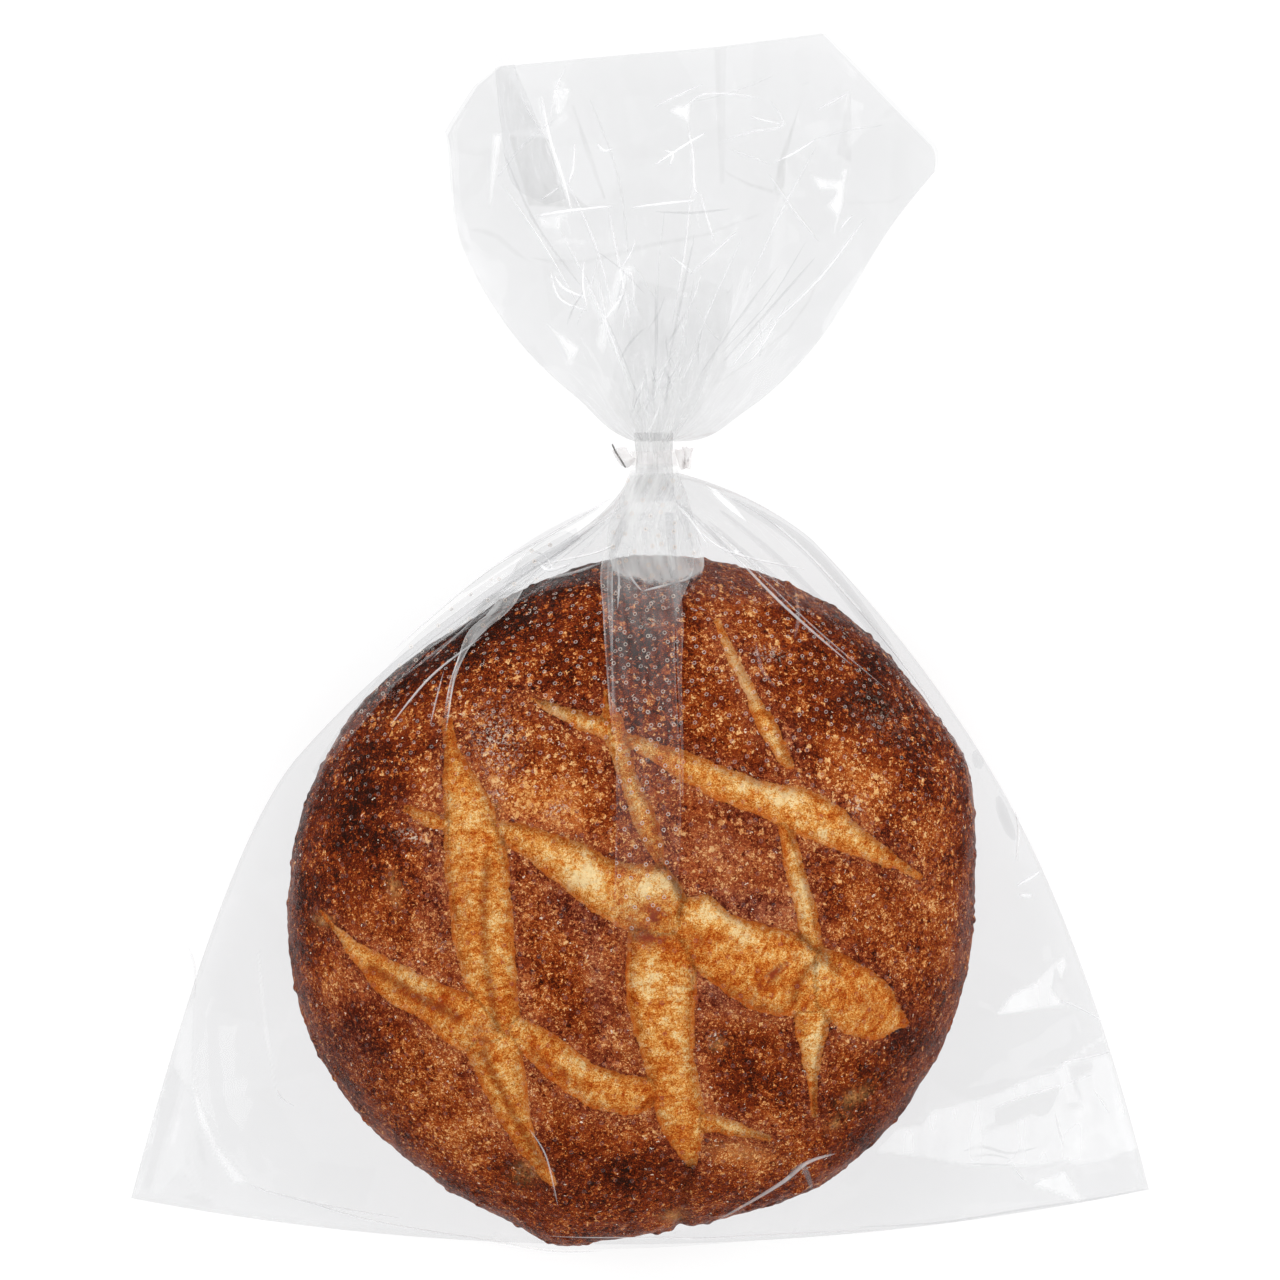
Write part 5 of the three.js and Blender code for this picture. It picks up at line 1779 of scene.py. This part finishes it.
def ribbon_shape(places, broad, width, thickness, count):
    """A closed strip along a smooth path: at each step a flat oval, as wide as the ribbon along
    its broad direction and as thick as the plastic across it, drawn in at the two ends."""
    share = np.linspace(0, 1, count)
    path = np.stack([through([place[i] for place in places], share) for i in range(3)], axis=-1)
    heading = np.gradient(path, axis=0)
    heading /= np.linalg.norm(heading, axis=-1, keepdims=True)
    wide = np.stack([through([side[i] for side in broad], share) for i in range(3)], axis=-1)
    wide -= (wide * heading).sum(axis=-1, keepdims=True) * heading
    wide /= np.linalg.norm(wide, axis=-1, keepdims=True)
    up = np.cross(heading, wide)
    turn = np.linspace(0, 2 * np.pi, RIBBON_ROUND, endpoint=False)[:, None]
    oval_wide = np.sign(np.cos(turn)) * np.abs(np.cos(turn)) ** 0.35 * width / 2
    oval_thick = np.sign(np.sin(turn)) * np.abs(np.sin(turn)) ** 0.7 * thickness / 2
    ends = np.minimum(1, np.minimum(share, 1 - share) * count / 1.5 + 0.05)[:, None, None]
    return path[:, None] + ends * (oval_wide * wide[:, None] + oval_thick * up[:, None])


def tube_faces(rows):
    """Quads round a closed strip, and one face over each end."""
    quads = grid_faces(rows, RIBBON_ROUND, closed=True).tolist()
    start = np.arange(RIBBON_ROUND)
    end = start + (rows - 1) * RIBBON_ROUND
    return quads + [start[::-1].tolist(), end.tolist()]


tie_at = np.array([NECK_X, TIE_Y, NECK_Z])
around = np.radians(np.linspace(0, 360, 13))
band_path = [(TIE_RADIUS * np.sin(a), 0.25 * np.sin(2 * a), TIE_RADIUS * np.cos(a)) for a in around]
band_broad = [(0.0, 1.0, 0.1 * np.sin(3 * a)) for a in around]
# Each ribbon: places along it about the middle of the tie, its broad direction at each, its width,
# its thickness and its steps.
TIE_RIBBONS = {
    "tie_band": (band_path, band_broad, 5.0, 0.9, 90),
    "tie_left_end": (
        ((-7.6, -1.8, 3.4), (-9.6, -1.0, 4.9), (-11.4, 1.2, 5.6), (-12.4, 3.6, 6.6)),
        ((1, 0.5, 0.2), (1, 0.5, 0.3), (1, 0.5, 0.4), (1, 0.5, 0.4)),
        5.2,
        0.6,
        24,
    ),
    "tie_right_end": (
        ((8.0, -0.6, 3.2), (9.8, 0, 4.8), (10.6, 0.3, 3.0), (11.8, 0.2, 5.4), (12.8, -0.3, 4.2)),
        ((0, 1, 0.2), (0, 1, 0.6), (0, 1, -0.4), (-0.1, 1, 0.4), (-0.1, 1, 0)),
        7.6,
        0.6,
        36,
    ),
}
for name, (places, broad, width, thickness, count) in TIE_RIBBONS.items():
    strip = ribbon_shape(places, broad, width, thickness, count) + tie_at
    cloudy = np.full(strip.shape[:-1], 0.14 if name == "tie_band" else 0.35)
    make_piece(name, strip, tube_faces(count), {"cloudy": cloudy}, plastic, "twist_tie")
wire_path = ((-10.0, -3.4, 4.6), (-11.6, -0.8, 5.0), (-13.4, 2.0, 6.0), (-14.8, 5.0, 6.8))
wire_broad = ((1, 0, 0), (1, 0, 0), (1, 0, 0), (1, 0, 0))
wire = ribbon_shape(wire_path, wire_broad, WIRE_WIDTH, WIRE_WIDTH, WIRE_STEPS) + tie_at
make_piece("tie_wire", wire, tube_faces(WIRE_STEPS), {}, steel, "twist_tie")

# ---------------------------------------------------------------- floor, light and camera
# A white sweep lit from within, as a light table is, and soft boxes low round the object. The sky
# is dark overhead, so that flat film doesn't veil what it covers.

FLOOR_GLOW = 0.8
FLOOR_REACH = 6
# Each soft box: place, size and power, in metres and watts.
LAMPS = (
    ((-1.5, 0.6, 1.45), 1.5, 30.0),
    ((1.6, 0.3, 1.4), 1.5, 25.0),
    ((0.3, -1.7, 1.4), 1.5, 17.0),
    ((0.2, 1.9, 1.1), 1.2, 13.0),
)
CAMERA_HEIGHT = 3.02
SENSOR_WIDTH = 36
# How wide the view is at the height where it is measured.
VIEW_WIDTH = 0.448
VIEW_HEIGHT = 0.02
LIT_POINT = np.array([0, 0, 0.03])

white, tree = new_material("white sweep")
glow = add(tree, "ShaderNodeEmission", {"Color": (1, 1, 1, 1), "Strength": FLOOR_GLOW}).outputs[0]
paper = add(tree, "ShaderNodeBsdfDiffuse", {"Color": (0.24, 0.24, 0.24, 1)}).outputs[0]
both = add(tree, "ShaderNodeAddShader", {0: glow, 1: paper}).outputs[0]
add(tree, "ShaderNodeOutputMaterial", {"Surface": both})
floor_mesh = bpy.data.meshes.new("floor")
floor_corners = [(FLOOR_REACH * i, FLOOR_REACH * j, 0) for i, j in ((-1, -1), (1, -1), (1, 1), (-1, 1))]
floor_mesh.from_pydata(floor_corners, [], [(0, 1, 2, 3)])
floor_mesh.materials.append(white)
floor = bpy.data.objects.new("floor", floor_mesh)
bpy.context.collection.objects.link(floor)

world = bpy.data.worlds.new("studio")
world.use_nodes = True
tree = world.node_tree
tree.nodes.clear()
toward_sky = add(tree, "ShaderNodeTexCoord").outputs["Generated"]
direction = add(tree, "ShaderNodeSeparateXYZ", {0: toward_sky})
low = band(tree, direction.outputs[2], 0.75, 0.05)
sky = blend(tree, low, (0.1, 0.1, 0.11, 1), (1.1, 1.12, 1.14, 1))
background = add(tree, "ShaderNodeBackground", {"Color": sky, "Strength": 1.0}).outputs[0]
add(tree, "ShaderNodeOutputWorld", {"Surface": background})
bpy.context.scene.world = world

for number, (spot, size, watts) in enumerate(LAMPS):
    lamp = bpy.data.lights.new(f"softbox_{number}", "AREA")
    lamp.size = size
    lamp.energy = watts
    holder = bpy.data.objects.new(f"softbox_{number}", lamp)
    holder.location = spot
    toward = LIT_POINT - np.array(spot)
    pitch = np.arctan2(np.hypot(toward[0], toward[1]), -toward[2])
    holder.rotation_euler = (pitch, 0, np.arctan2(-toward[0], toward[1]))
    bpy.context.collection.objects.link(holder)

camera = bpy.data.cameras.new("camera")
camera.sensor_width = SENSOR_WIDTH
camera.lens = SENSOR_WIDTH * (CAMERA_HEIGHT - VIEW_HEIGHT) / VIEW_WIDTH
eye = bpy.data.objects.new("camera", camera)
eye.location = (0, 0, CAMERA_HEIGHT)
bpy.context.collection.objects.link(eye)
scene = bpy.context.scene
scene.camera = eye
scene.view_settings.view_transform = "Standard"
scene.cycles.transparent_max_bounces = 32
